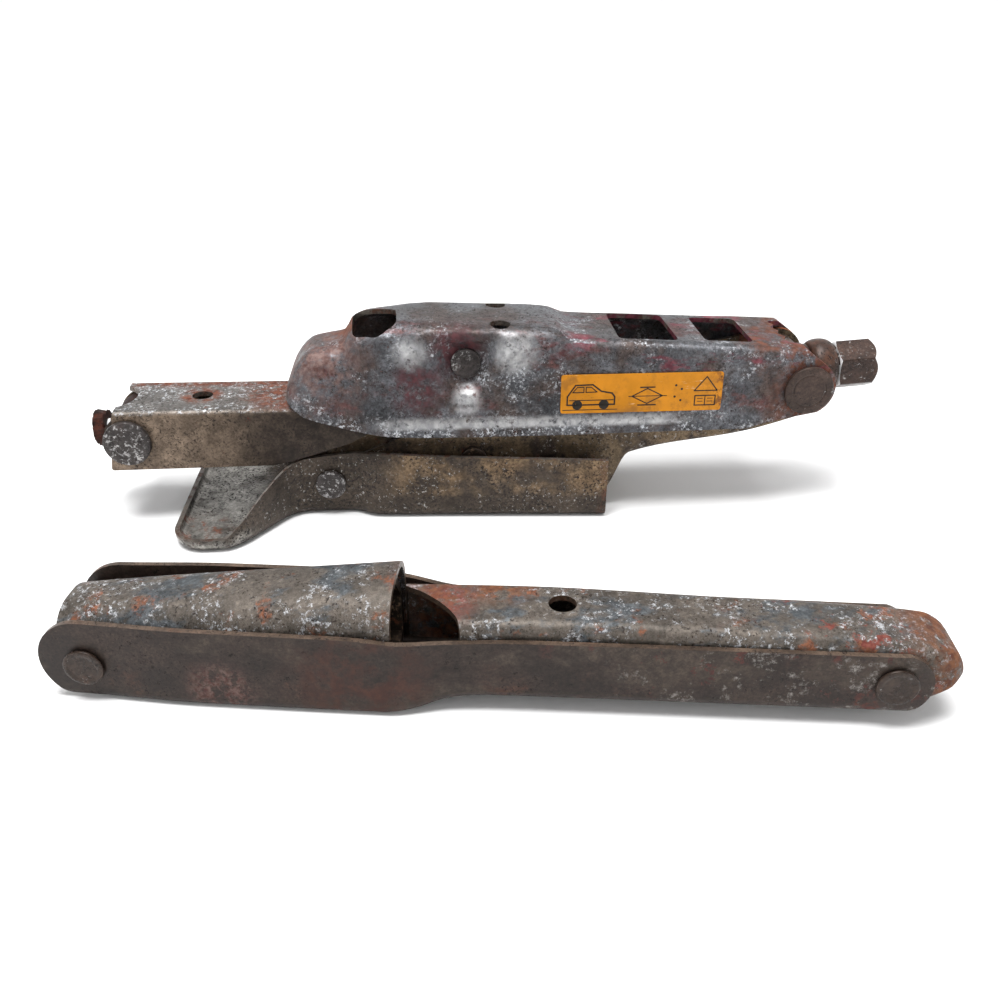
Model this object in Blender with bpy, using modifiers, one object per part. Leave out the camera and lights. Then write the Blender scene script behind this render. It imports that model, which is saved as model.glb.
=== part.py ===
"""A scissor jack, closed, with its folding three-link crank handle lying in front of it.

Metres, +Z up, +X along the screw towards its drive hex. The origin is on the ground under the foot hinge.
Lengths below are in millimetres; MM turns them into metres where a mesh is made.
The crank handle is drawn along its own X axis from its socket-link pin, then turned and moved into place.
"""

import math

import bmesh
import bpy
from mathutils import Matrix, Vector

MM = 0.001

# Driving dimensions
PIN_SPAN = 310.0  # left trunnion to right trunnion along the closed screw
ARM_PITCH = 156.85  # pin to pin on each of the four rhombus sides
SCREW_TILT = math.radians(3.72)
TRUNNION_HEIGHT = 41.6
TRUNNION_X = -88.8
FOOT_HINGE_HEIGHT = 16.5
SHEET = 2.2
GAP = 0.3

# Hinge centres in the XZ plane
SCREW_DIRECTION = Vector((math.cos(SCREW_TILT), math.sin(SCREW_TILT)))
ARM_RISE = math.acos(PIN_SPAN / 2 / ARM_PITCH)
LEFT = Vector((TRUNNION_X, TRUNNION_HEIGHT))
RIGHT = LEFT + PIN_SPAN * SCREW_DIRECTION
UPPER = LEFT + ARM_PITCH * Vector((math.cos(SCREW_TILT + ARM_RISE), math.sin(SCREW_TILT + ARM_RISE)))
LOWER = LEFT + ARM_PITCH * Vector((math.cos(SCREW_TILT - ARM_RISE), math.sin(SCREW_TILT - ARM_RISE)))
FOOT = Vector((0.0, FOOT_HINGE_HEIGHT))

# Pins and screw
PIN_R = 5.0
JOURNAL_R = 7.0
BARREL_R = 11.0
SCREW_R = 5.75
SPIGOT_R = 5.0
HEX_ACROSS_FLATS = 21.0
COLLAR_R = 13.4

# Stations along the screw: the end stop from the left trunnion, the rest from the right one
STOP_START = -18.8
STOP_END = -12.9
THRUST_SEAT = 5.2
WASHER_END = THRUST_SEAT + 2.6
COLLAR_END = 21.0
HEX_END = 40.2

# Half widths of the nested channels, outside face to mid-plane
FOOT_END_HALF = 14.7
SHELL_EAR_HALF = 25.6
SHORT_ARM_HALF = 19.0
INNER_ARM_HALF = 16.5
SHELL_PINCH_HALF = 18.0
WAIST_HALF = 17.9

# Crank handle
HANDLE_PLACE = (-72.8, -126.4)
HANDLE_YAW = math.radians(-8.0)
HANDLE_PIN_SPAN = 279.0
SOCKET_PIN_HEIGHT = 15.0
GRIP_PIN_HEIGHT = 18.5
HANDLE_PIN_R = 4.5
SOCKET_LENGTH = 24.0
SOCKET_TILT = math.radians(6.0)

FRONT = "front"
GROUND = "ground"


def clear_scene():
    for old in list(bpy.data.objects):
        bpy.data.objects.remove(old)


def new_collection(name):
    made = bpy.data.collections.new(name)
    bpy.context.scene.collection.children.link(made)
    return made


def material(name, colour, roughness, metallic):
    made = bpy.data.materials.new(name)
    made.use_nodes = True
    shader = made.node_tree.nodes["Principled BSDF"]
    shader.inputs["Base Color"].default_value = (*colour, 1.0)
    shader.inputs["Roughness"].default_value = roughness
    shader.inputs["Metallic"].default_value = metallic
    return made


def add_mesh(name, bm, finish=None):
    """Puts a bmesh drawn in millimetres into the parts or, with no finish, into the cutters."""
    bm.transform(Matrix.Scale(MM, 4))
    mesh = bpy.data.meshes.new(name)
    bm.to_mesh(mesh)
    bm.free()
    made = bpy.data.objects.new(name, mesh)
    if finish:
        PARTS.objects.link(made)
        mesh.materials.append(finish)
    else:
        CUTTERS.objects.link(made)
        made.hide_render = True
        made.display_type = "WIRE"
    return made


def combine(part, other, operation):
    step = part.modifiers.new(operation.lower(), "BOOLEAN")
    step.operation = operation
    step.object = other
    step.solver = "EXACT"


def cut(part, *cutters):
    for cutter in cutters:
        combine(part, cutter, "DIFFERENCE")


def shade_round(part):
    part.data.shade_smooth()
    part.data.set_sharp_from_angle(angle=math.radians(40))


def arc(centre, radius, start, stop, steps=10):
    """Points from start to stop degrees about a centre."""
    points = []
    for k in range(steps + 1):
        angle = math.radians(start + (stop - start) * k / steps)
        points.append((centre[0] + radius * math.cos(angle), centre[1] + radius * math.sin(angle)))
    return points


def outline_solid(name, points, half_depth, plane, centre=0.0):
    """A flat outline extruded to both sides of the mid-plane (front) or upwards from centre (ground)."""
    flat = bpy.data.curves.new(name + "_outline", "CURVE")
    flat.dimensions = "2D"
    flat.fill_mode = "BOTH"
    flat.extrude = half_depth
    spline = flat.splines.new("POLY")
    spline.points.add(len(points) - 1)
    for point, (x, z) in zip(spline.points, points):
        point.co = (x, z, 0.0, 1.0)
    spline.use_cyclic_u = True
    drawn = bpy.data.objects.new(name + "_outline", flat)
    CUTTERS.objects.link(drawn)
    mesh = bpy.data.meshes.new_from_object(drawn.evaluated_get(bpy.context.evaluated_depsgraph_get()))
    bpy.data.objects.remove(drawn)
    bm = bmesh.new()
    bm.from_mesh(mesh)
    bpy.data.meshes.remove(mesh)
    bmesh.ops.remove_doubles(bm, verts=bm.verts, dist=0.001)
    if plane == FRONT:
        bm.transform(Matrix.Rotation(math.pi / 2, 4, "X"))
        bm.transform(Matrix.Translation((0.0, centre, 0.0)))
    else:
        bm.transform(Matrix.Translation((0.0, 0.0, centre)))
    bmesh.ops.recalc_face_normals(bm, faces=bm.faces)
    return add_mesh(name, bm)


def block(name, x_span, y_span, z_span):
    """A box cutter between two corners."""
    bm = bmesh.new()
    bmesh.ops.create_cube(bm, size=1.0)
    size = (x_span[1] - x_span[0], y_span[1] - y_span[0], z_span[1] - z_span[0])
    middle = (sum(x_span) / 2, sum(y_span) / 2, sum(z_span) / 2)
    bmesh.ops.scale(bm, vec=size, verts=bm.verts)
    bmesh.ops.translate(bm, vec=middle, verts=bm.verts)
    return add_mesh(name, bm)


def turned(name, profile, place, finish=None, segments=20):
    """Turns (radius, station) pairs about an axis; place moves that axis from +Z into position."""
    bm = bmesh.new()
    ring = [bm.verts.new((radius, 0.0, station)) for radius, station in profile]
    edges = [bm.edges.new(pair) for pair in zip(ring, ring[1:])]
    bmesh.ops.spin(
        bm, geom=ring + edges, cent=(0, 0, 0), axis=(0, 0, 1), angle=2 * math.pi, steps=segments, use_merge=True
    )
    bmesh.ops.remove_doubles(bm, verts=bm.verts, dist=0.001)
    bmesh.ops.recalc_face_normals(bm, faces=bm.faces)
    bm.transform(place)
    made = add_mesh(name, bm, finish)
    shade_round(made)
    return made


def across(centre):
    """Places a turned shape's axis along Y through a hinge centre, mid-plane at station 0."""
    return Matrix.Translation((centre[0], 0.0, centre[1])) @ Matrix.Rotation(-math.pi / 2, 4, "X")


def along_screw(station):
    """Places a turned shape's axis along the screw, with station measured from the left trunnion."""
    point = LEFT + station * SCREW_DIRECTION
    return Matrix.Translation((point.x, 0.0, point.y)) @ Matrix.Rotation(math.pi / 2 - SCREW_TILT, 4, "Y")


def hole(name, centre, radius, reach=60.0):
    return turned(name, [(0, -reach), (radius, -reach), (radius, reach), (0, reach)], across(centre), segments=16)


def upright_drill(name, x, y, z_span, radius=4.7):
    """A drill straight down; it is turned a little so that none of its edges runs along a wall's."""
    profile = [(0, z_span[0]), (radius, z_span[0]), (radius, z_span[1]), (0, z_span[1])]
    place = Matrix.Translation((x, y, 0)) @ Matrix.Rotation(math.radians(7), 4, "Z")
    return turned(name, profile, place, segments=20)


def channel_section(half_web, half_rim, web, rim, radius, wall_steps=1, corner_steps=3):
    """Half of a pressed channel's section, rim first: (y, z) points on the near side."""
    way = 1 if web > rim else -1
    bend = web - way * radius
    points = []
    for k in range(wall_steps):
        up = k / wall_steps
        points.append((-half_rim + (half_rim - half_web) * up, rim + (bend - rim) * up))
    for k in range(corner_steps + 1):
        angle = math.pi / 2 * k / corner_steps
        y = -half_web + radius * (1 - math.cos(angle))
        z = web - way * radius * (1 - math.sin(angle))
        points.append((y, z))
    return points


def pressed_channel(name, stations, finish, sheet=SHEET, wall_steps=1, shape=None):
    """A channel pressed from sheet, open at its ends and along one side.

    Each station is x, half width at the web, half width at the rim, web height, rim height and corner radius.
    """
    bm = bmesh.new()
    rows = []
    for x, half_web, half_rim, web, rim, radius in stations:
        near = channel_section(half_web, half_rim, web, rim, radius, wall_steps)
        loop = near + [(0.0, web)] + [(-y, z) for y, z in reversed(near)]
        if shape:
            loop = [(shape(x, y, z), z) for y, z in loop]
        rows.append([bm.verts.new((x, y, z)) for y, z in loop])
    opens_down = stations[0][3] > stations[0][4]
    for row, following in zip(rows, rows[1:]):
        for k in range(len(row) - 1):
            corners = [row[k], following[k], following[k + 1], row[k + 1]]
            bm.faces.new(corners if opens_down else corners[::-1])
    made = add_mesh(name, bm, finish)
    wall = made.modifiers.new("sheet", "SOLIDIFY")
    wall.thickness = sheet * MM
    wall.offset = -1.0
    wall.use_even_offset = True
    return made


def straight_stations(xs, half_at, web_at, rim, radius=4.0):
    return [(x, half_at(x), half_at(x), web_at(x), rim, radius) for x in xs]


def between(pairs):
    """A function that runs straight between (x, value) pairs and holds its end values."""

    def value(x):
        if x <= pairs[0][0]:
            return pairs[0][1]
        for (x0, v0), (x1, v1) in zip(pairs, pairs[1:]):
            if x <= x1:
                return v0 + (v1 - v0) * (x - x0) / (x1 - x0)
        return pairs[-1][1]

    return value


long_arm_half = between([(0.0, FOOT_END_HALF), (RIGHT.x, FOOT_END_HALF + 8.1)])


# Foot -------------------------------------------------------------------------------------------------------

FOOT_END_X = 129.5
FOOT_RIM = 34.0


def foot_outline():
    """Near half of the foot's plan, from the straight toe round to the open back end."""
    toe = [(-70.0, 0.0)] + arc((-55.0, -35.5), 15.0, 180, 270, 6)
    flank = [(-46.0, -50.3), (-39.0, -46.5), (-28.5, -33.5), (-17.0, -19.8), (-11.0, -WAIST_HALF)]
    body = [(9.0, -WAIST_HALF), (21.0, -23.2), (56.0, -25.3), (FOOT_END_X, -30.0)]
    return toe + flank + body


def base_foot():
    """Pressed foot: a flat sole with a wide toe, upright walls, open above and at the back."""
    near = foot_outline()
    ring = near + [(x, -y) for x, y in reversed(near[1:])]
    bm = bmesh.new()
    verts = [bm.verts.new((x, y, 0.0)) for x, y in ring]
    sole = bm.faces.new(verts)
    sides = [edge for edge in sole.edges if not all(v.co.x > FOOT_END_X - 0.1 for v in edge.verts)]
    raised = bmesh.ops.extrude_edge_only(bm, edges=sides)["geom"]
    tops = [item for item in raised if isinstance(item, bmesh.types.BMVert)]
    bmesh.ops.translate(bm, vec=(0, 0, FOOT_RIM), verts=tops)
    bmesh.ops.recalc_face_normals(bm, faces=bm.faces)
    if sole.normal.z > 0:
        bmesh.ops.reverse_faces(bm, faces=bm.faces)
    bmesh.ops.bevel(
        bm, geom=sides, offset=3.5, segments=3, profile=0.5, affect="EDGES", offset_type="OFFSET", material=-1
    )
    foot = add_mesh("base_foot", bm, DARK_STEEL)
    wall = foot.modifiers.new("sheet", "SOLIDIFY")
    wall.thickness = SHEET * MM
    wall.offset = -1.0
    wall.use_even_offset = True
    rim = [(-80, 6.0), (-46, 6.5), (-38.5, 12.0), (-29, 20.4), (-20, 26.4), (-11, 29.6)]
    rim += [(9, 31.8), (22, 33.6), (56, 32.0), (94, 31.0), (FOOT_END_X + 5, 30.0)]
    above = outline_solid("foot_rim_cut", rim + [(FOOT_END_X + 5, 60), (-80, 60)], 70.0, FRONT)
    cut(foot, above, hole("foot_pin_hole", FOOT, PIN_R + GAP))


def headed_pin(name, centre, half_grip, head_r, head_t, finish, shoulder=None, core_r=PIN_R):
    """A rivet across the jack with a flat head at each end."""
    half = [(core_r, 0.0)]
    if shoulder:
        inner, outer, radius = shoulder
        half += [(core_r, inner), (radius, inner), (radius, outer), (core_r, outer)]
    half += [(core_r, half_grip), (head_r, half_grip), (head_r, half_grip + head_t - 0.6)]
    half += [(head_r - 0.9, half_grip + head_t), (0.0, half_grip + head_t)]
    profile = [(r, -s) for r, s in reversed(half[1:])] + half[1:]
    return turned(name, profile, across(centre), finish)


# Arms -------------------------------------------------------------------------------------------------------

def lower_long_arm():
    """Channel open above, from the foot hinge past the lower centre pin to the right trunnion."""
    web = between([(-15, 4.6), (126, 4.6), (131, 9), (141, 28.2), (193, 38.2), (240, 50)])
    xs = (-15, 20, 60, 100, 122, 126, 131, 141, 165, 193, 215, 240)
    arm = pressed_channel("lower_long_arm", straight_stations(xs, long_arm_half, web, 84.0, 3.0), DIRTY_STEEL)
    outline = arc(RIGHT, 13.3, -75, 100, 14) + [(150, 63), (104, 50), (60, 41), (34, 39), (14, 29.5)]
    outline += arc(FOOT, 11.6, 80, 270, 12) + [(127, 4.0), (130, 7), (141, 27.9), (193, 38.0)]
    combine(arm, outline_solid("long_arm_side", outline, 40.0, FRONT), "INTERSECT")
    clear_ends = [
        block("long_arm_foot_gap", (-20, 4), (-12.6, 12.6), (-2, 12)),
        block("long_arm_trunnion_gap", (201, 245), (-20.2, 20.2), (20, 90)),
    ]
    holes = [
        hole("long_arm_foot_hole", FOOT, PIN_R + GAP),
        hole("long_arm_pin_hole", LOWER, PIN_R + GAP),
        hole("long_arm_journal_hole", RIGHT, JOURNAL_R + GAP),
    ]
    cut(arm, *clear_ends, *holes)


def lower_short_arm():
    """Channel open above, nested inside the others, from the left trunnion to the lower centre pin."""
    half = between([(-28, INNER_ARM_HALF), (-6, 12.4)])
    web = between([(-110, 28.4), (-28, 28.4), (-5, 24.4), (22, 21.6), (80, 16)])
    xs = (-110, -70, -45, -28, -17, -6, 10, 30, 50, 85)
    arm = pressed_channel("lower_short_arm", straight_stations(xs, half, web, 70.0, 3.0), DIRTY_STEEL)
    outline = arc(LEFT, 11.4, 90, 258, 12) + [(-28, 28.0), (-5, 24.0), (22, 21.2), (57, 18.8)]
    outline += arc(LOWER, 10.4, -75, 85, 10) + [(-6, 44)]
    combine(arm, outline_solid("lower_short_side", outline, 30.0, FRONT), "INTERSECT")
    cut(
        arm,
        block("lower_short_nut_gap", (-112, -75), (-14.2, 14.2), (20, 70)),
        block("lower_short_pin_gap", (46, 90), (-10.1, 10.1), (10, 60)),
        hole("lower_short_journal_hole", LEFT, JOURNAL_R + GAP),
        hole("lower_short_pin_hole", LOWER, PIN_R + GAP),
    )


def upper_short_arm():
    """Channel open below, from the left trunnion up to the upper centre pin inside the shell."""
    half = between([(-11, SHORT_ARM_HALF), (44, 15.5)])
    web = between([(-110, 55.9), (-93, 55.8), (-9, 55.2), (6, 59.7), (38, 75), (52, 99), (90, 99)])
    xs = (-110, -93, -60, -30, -9, 0, 6, 22, 38, 52, 85)
    arm = pressed_channel("upper_short_arm", straight_stations(xs, half, web, 10.0, 3.0), GREY_STEEL)
    cut(arm, upright_drill("upper_short_lightening", -57.5, 0.0, (48, 64)))
    outline = [(-92.6, 62), (-98.8, 27.2), (-24, 27.5), (-11, 31.0), (10, 36.8), (30, 47), (56, 66.8)]
    outline += arc(UPPER, 10.0, -60, 115, 10) + [(38, 77), (6, 62)]
    combine(arm, outline_solid("upper_short_side", outline, 30.0, FRONT), "INTERSECT")
    notch = outline_solid("upper_short_notch", arc((-101.5, 0), 14.5, 4, 364, 24)[:-1], 10.0, GROUND, centre=58.0)
    cut(
        arm,
        notch,
        hole("upper_short_journal_hole", LEFT, JOURNAL_R + GAP),
        hole("upper_short_pin_hole", UPPER, PIN_R + GAP),
    )


# Shell ------------------------------------------------------------------------------------------------------

SHELL_STATIONS = (
    # x, half at web, half at rim, web height, rim height, corner radius
    (-17.5, 9.0, 12.0, 60.5, 57.3, 1.2),
    (-15.5, 14.5, 19.0, 67.0, 57.2, 4.5),
    (-13.2, 16.4, 21.5, 71.5, 56.0, 6.5),
    (-9.0, 17.2, 22.6, 77.0, 52.6, 8.2),
    (-5.0, 17.5, 23.2, 80.0, 51.2, 9.0),
    (3.0, 18.0, 23.8, 82.0, 49.0, 10.0),
    (9.5, 18.5, 24.2, 83.5, 47.3, 11.0),
    (14.0, 19.5, 24.5, 90.0, 46.3, 11.0),
    (22.0, 20.5, 24.7, 92.6, 44.7, 10.0),
    (31.0, 21.5, 24.8, 93.2, 43.3, 9.0),
    (40.0, 22.5, 24.9, 93.6, 42.8, 8.0),
    (48.0, 23.0, 24.9, 93.2, 42.3, 7.5),
    (56.0, 23.2, 24.9, 92.8, 42.1, 7.0),
    (64.0, 23.4, 24.9, 92.4, 42.1, 7.0),
    (72.0, 23.5, 24.9, 92.1, 42.1, 7.0),
    (80.0, 23.6, 24.9, 91.7, 42.1, 7.0),
    (92.0, 23.7, 25.0, 91.3, 42.1, 7.0),
    (104.0, 23.8, 25.0, 90.0, 42.1, 7.0),
    (113.0, 23.9, 25.1, 86.6, 42.2, 6.0),
    (146.0, 24.0, 25.2, 84.6, 42.6, 5.0),
    (184.0, 24.8, 25.5, 82.3, 43.1, 5.0),
    (200.0, 25.4, SHELL_EAR_HALF, 81.4, 43.5, 5.0),
    (236.0, 25.4, SHELL_EAR_HALF, 79.4, 46.0, 5.0),
)
PINCH_FLAT_R = 13.5
PINCH_R = 27.0


def pinched(x, y, z):
    """Draws the shell's side walls in round the upper centre pin."""
    away = math.hypot(x - UPPER.x, z - UPPER.y)
    if abs(y) < SHELL_PINCH_HALF or away > PINCH_R:
        return y
    blend = min(1.0, max(0.0, (away - PINCH_FLAT_R) / (PINCH_R - PINCH_FLAT_R)))
    blend = blend * blend * (3 - 2 * blend)
    return math.copysign(SHELL_PINCH_HALF + (abs(y) - SHELL_PINCH_HALF) * blend, y)


def upper_long_arm():
    """Deep pressed shell, open below: lifting nose, pinched pin seat, slotted back and trunnion ears."""
    shell = pressed_channel("upper_long_arm", SHELL_STATIONS, GREY_STEEL, wall_steps=4, shape=pinched)
    outline = [(-19, 56.8), (-13.6, 56.4), (-12.4, 54.0), (-6.4, 51.8), (0.3, 49.6), (9, 47.4), (17, 45.6)]
    outline += [(29, 43.6), (48, 42.7), (70, 42.4), (104, 42.4), (144, 42.8), (192, 43.4), (200, 45.0)] + arc(RIGHT, 13.3, -62, 55, 12)
    outline += [(213, 84), (210, 100), (-19, 100)]
    combine(shell, outline_solid("shell_side", outline, 40.0, FRONT), "INTERSECT")
    d_hole = [(15.5, 9.0), (32.5, 12.0), (34.0, -12.0), (26.0, -20.5), (17.0, -18.0)]
    slots = [
        [(133.0, 18.0), (159.5, 18.0), (160.5, -18.0), (133.0, -18.0)],
        [(173.0, 16.5), (195.5, 16.5), (195.5, -16.5), (173.0, -16.5)],
    ]
    for number, corners in enumerate([d_hole, *slots]):
        cut(shell, outline_solid(f"shell_window_{number}", corners, 14.0, GROUND, centre=90.0))
    cut(shell, block("shell_collar_gap", (213.3, 240.0), (-15.5, 15.5), (66, 100)))
    for side in (-1, 1):
        cut(shell, upright_drill(f"shell_drain_{side}", 79.5, side * 14.6, (80, 100)))
    cut(shell, hole("shell_pin_hole", UPPER, PIN_R + GAP), hole("shell_journal_hole", RIGHT, JOURNAL_R + GAP))


def label_plate():
    """Thin foil label on the shell's near wall."""
    bm = bmesh.new()
    bmesh.ops.create_cube(bm, size=1.0)
    bmesh.ops.scale(bm, vec=(74.0, 0.4, 18.4), verts=bm.verts)
    lean = Matrix.Rotation(math.radians(-1.9), 4, "X")
    turn = Matrix.Rotation(math.radians(-0.15), 4, "Z")
    bm.transform(Matrix.Translation((143.6, -25.35, 61.9)) @ turn @ lean)
    add_mesh("label_plate", bm, LABEL)


# Screw train ------------------------------------------------------------------------------------------------

def cross_barrel(name, centre, half_barrel, half_journal, finish):
    """A trunnion body across the jack: a barrel with a smaller journal at each end."""
    half = [(BARREL_R, half_barrel), (JOURNAL_R, half_barrel), (JOURNAL_R, half_journal), (0.0, half_journal)]
    profile = [(r, -s) for r, s in reversed(half)] + half
    return turned(name, profile, across(centre), finish)


def screw_bore(name, radius):
    return turned(name, [(0, -30), (radius, -30), (radius, PIN_SPAN + 60), (0, PIN_SPAN + 60)], along_screw(0.0))


def trunnion_caps(name, centre, inner, outer, radius):
    """The two round caps riveted on a trunnion's journals, near and far."""
    for side, word in ((-1, "near"), (1, "far")):
        profile = [(0.0, inner), (radius, inner), (radius, outer - 0.7), (radius - 0.8, outer), (0.0, outer)]
        face = Matrix.Rotation(math.pi if side < 0 else 0.0, 4, "X")
        turned(f"{name}_{word}", profile, across(centre) @ face, RUST, segments=24)


def left_trunnion():
    nut = cross_barrel("trunnion_nut", LEFT, 13.8, SHORT_ARM_HALF + GAP, RUST)
    cut(nut, screw_bore("nut_bore", SCREW_R + 0.4))
    trunnion_caps("trunnion_nut_cap", LEFT, SHORT_ARM_HALF + 2 * GAP, 22.2, 10.5)


def right_trunnion():
    """Trunnion block with a flat thrust seat facing the drive end."""
    body = cross_barrel("thrust_trunnion", RIGHT, 20.2, SHELL_EAR_HALF + GAP, RUST)
    seat = block("thrust_seat", (0.0, 20.0), (-40, 40), (-30, 30))
    seat.matrix_world = Matrix.Translation((RIGHT.x * MM, 0, RIGHT.y * MM)) @ Matrix.Rotation(
        -SCREW_TILT, 4, "Y"
    ) @ Matrix.Translation((THRUST_SEAT * MM, 0, 0))
    cut(body, seat, screw_bore("thrust_bore", SCREW_R + 0.4))
    trunnion_caps("thrust_trunnion_cap", RIGHT, SHELL_EAR_HALF + 2 * GAP, 28.3, 11.3)


def screw_train():
    end = PIN_SPAN
    steps = [(0, STOP_START - 0.6), (4.0, STOP_START - 0.6), (4.0, STOP_END), (SCREW_R, STOP_END + 0.3)]
    steps += [(SCREW_R, end + WASHER_END + GAP), (SPIGOT_R, end + WASHER_END + GAP)]
    steps += [(SPIGOT_R, end + COLLAR_END + 10), (0, end + COLLAR_END + 10)]
    turned("screw_spindle", steps, along_screw(0.0), GREASY_STEEL, segments=24)
    stop = [(4.3, STOP_START), (9.5, STOP_START), (9.5, STOP_END - 0.4), (4.3, STOP_END - 0.4), (4.3, STOP_START)]
    turned("screw_end_stop", stop, along_screw(0.0), RUST, segments=24)
    inner = THRUST_SEAT + GAP
    washer = [(6.4, inner), (11.5, inner), (11.5, WASHER_END), (6.4, WASHER_END), (6.4, inner)]
    turned("thrust_washer", washer, along_screw(end), RUST, segments=20)
    low = WASHER_END + 2 * GAP
    collar = [(5.3, low), (COLLAR_R - 3, low), (COLLAR_R - 0.8, low + 1.4), (COLLAR_R, low + 4.0)]
    collar += [(COLLAR_R, COLLAR_END - 5.0), (COLLAR_R - 1.0, COLLAR_END - 2.0)]
    collar += [(COLLAR_R - 3.2, COLLAR_END), (5.3, COLLAR_END), (5.3, low)]
    turned("thrust_collar", collar, along_screw(end), RUST, segments=24)
    drive_hex(end)


def drive_hex(end):
    """Hexagon for the crank, chamfered at its free end."""
    bm = bmesh.new()
    length = HEX_END - COLLAR_END - GAP
    corner_r = HEX_ACROSS_FLATS / math.sqrt(3)
    bmesh.ops.create_cone(bm, cap_ends=True, segments=6, radius1=corner_r, radius2=corner_r, depth=length)
    bm.transform(Matrix.Translation((0, 0, COLLAR_END + GAP + length / 2)) @ Matrix.Rotation(math.pi / 6, 4, "Z"))
    bm.transform(along_screw(end))
    hexagon = add_mesh("drive_hex", bm, RUST)
    chamfer = [(0, 0), (corner_r + 4, 0), (corner_r + 4, HEX_END - 5.0), (HEX_ACROSS_FLATS / 2 - 0.5, HEX_END)]
    chamfer += [(0, HEX_END)]
    combine(hexagon, turned("hex_chamfer", chamfer, along_screw(end), segments=30), "INTERSECT")
    bore = [(0, 10), (5.3, 10), (5.3, COLLAR_END + 10.4), (0, COLLAR_END + 10.4)]
    cut(hexagon, turned("hex_bore", bore, along_screw(end)))


# Crank handle -----------------------------------------------------------------------------------------------

def place_in_handle(part):
    """Moves a part drawn on the handle's own axis into place, with the cutters that shape it."""
    part.matrix_world = HANDLE_FRAME
    for step in part.modifiers:
        if step.type == "BOOLEAN":
            step.object.matrix_world = HANDLE_FRAME


def crank_arm():
    """Outer link of the handle: a channel open above, deep at the socket end and narrow at the grip end."""
    half = between([(-20, 19.0), (0, 19.6), (40, 21.8), (98, 22.0), (106, 22.2), (128, 18.0), (145, 17.0),
                    (300, 15.3)])
    web = between([(-20, 0.0), (104, 0.0), (116, 1.4), (128, 4.6), (140, 5.6), (300, 5.6)])
    xs = (-20, 0, 20, 40, 70, 98, 106, 114, 121, 128, 136, 145, 200, 250, 300)
    arm = pressed_channel("crank_arm", straight_stations(xs, half, web, 50.0), RUST)
    outline = arc((0, 16.2), 16.6, 92, 268, 14) + [(104, -1), (128, 3.5), (141, 4.4)]
    outline += arc((HANDLE_PIN_SPAN, GRIP_PIN_HEIGHT - 0.4), 12.6, -90, 75, 12)
    outline += [(262, 30.2), (150, 30.2), (128, 29.4), (114, 30.2), (96, 32.4)]
    combine(arm, outline_solid("crank_side", outline, 40.0, FRONT), "INTERSECT")
    pins = [(0.0, SOCKET_PIN_HEIGHT), (HANDLE_PIN_SPAN, GRIP_PIN_HEIGHT)]
    cut(
        arm,
        block("crank_socket_gap", (-25, 14), (-17.2, 17.2), (-5, 12)),
        block("crank_grip_gap", (248, 300), (-13.2, 13.2), (-5, 14)),
        *[hole(f"crank_hole_{k}", pin, HANDLE_PIN_R + GAP) for k, pin in enumerate(pins)],
    )
    place_in_handle(arm)


def socket_link():
    """Short inner link with a rounded back; its free end holds the wrench socket."""
    half = between([(-12, 16.2), (20, 17.0), (108, 18.6)])
    web = between([(-12, 31.6), (0, 33.2), (108, 45.0)])
    xs = (-12, 0, 20, 50, 80, 108)
    rows = [(x, half(x), half(x), web(x), 4.0, 13.5) for x in xs]
    link = pressed_channel("socket_link", rows, RUST)
    outline = arc((0, 16), 13.0, 180, 240, 6) + [(30, 6.0), (108, 12.5), (108, 50), (-11, 50), (-11, 27)]
    combine(link, outline_solid("socket_link_side", outline, 30.0, FRONT), "INTERSECT")
    cut(link, hole("socket_link_hole", (0.0, SOCKET_PIN_HEIGHT), HANDLE_PIN_R + GAP))
    place_in_handle(link)


def wrench_socket():
    """Hexagonal socket gripped in the free end of the socket link."""
    mouth = Vector((107.0, 0.0, 27.4))
    place = Matrix.Translation(mouth) @ Matrix.Rotation(math.pi / 2 - SOCKET_TILT, 4, "Y")
    outer = [(0, -SOCKET_LENGTH), (14.9, -SOCKET_LENGTH), (14.9, 0), (0, 0)]
    socket = turned("wrench_socket", outer, place, GREASY_STEEL, segments=30)
    bm = bmesh.new()
    corner_r = (HEX_ACROSS_FLATS + 0.6) / math.sqrt(3)
    bmesh.ops.create_cone(bm, cap_ends=True, segments=6, radius1=corner_r, radius2=corner_r, depth=60.0)
    bm.transform(place)
    cut(socket, add_mesh("socket_hexagon", bm))
    place_in_handle(socket)


def grip_link():
    """Long inner link gripped in the hand, open below, its end turned down beyond the pin."""
    half = between([(108, 14.3), (130, 14.0), (240, 12.9), (290, 12.9), (298, 12.0), (303, 8.0), (305, 5.0)])
    web = between([(108, 34.0), (166, 35.6), (215, 34.8), (270, 33.6), (292, 32.0), (299, 28.5), (305, 20.0)])
    xs = (108, 130, 166, 215, 250, 270, 285, 292, 296, 299, 302, 305)
    rows = [(x, half(x), half(x), web(x), 4.0, 5.0 if x < 300 else 3.5) for x in xs]
    link = pressed_channel("grip_link", rows, RUST)
    pin = (HANDLE_PIN_SPAN, GRIP_PIN_HEIGHT)
    outline = [(109.5, 60), (109.5, 9.5), (262, 9.0)] + arc(pin, 12.0, -95, -50, 5) + [(305.5, 19.0), (305.5, 60)]
    combine(link, outline_solid("grip_link_side", outline, 30.0, FRONT), "INTERSECT")
    slant = [(100, 9.5), (109.4, 9.5), (116, 6.0), (124, -1.0), (130, -9.0), (133, -20.0), (100, -20.0)]
    cut(
        link,
        outline_solid("grip_slant", slant, 40.0, GROUND, centre=30.0),
        upright_drill("grip_drill", 166.0, 0.0, (20, 50), radius=5.0),
        hole("grip_link_hole", pin, HANDLE_PIN_R + GAP),
    )
    place_in_handle(link)


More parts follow.
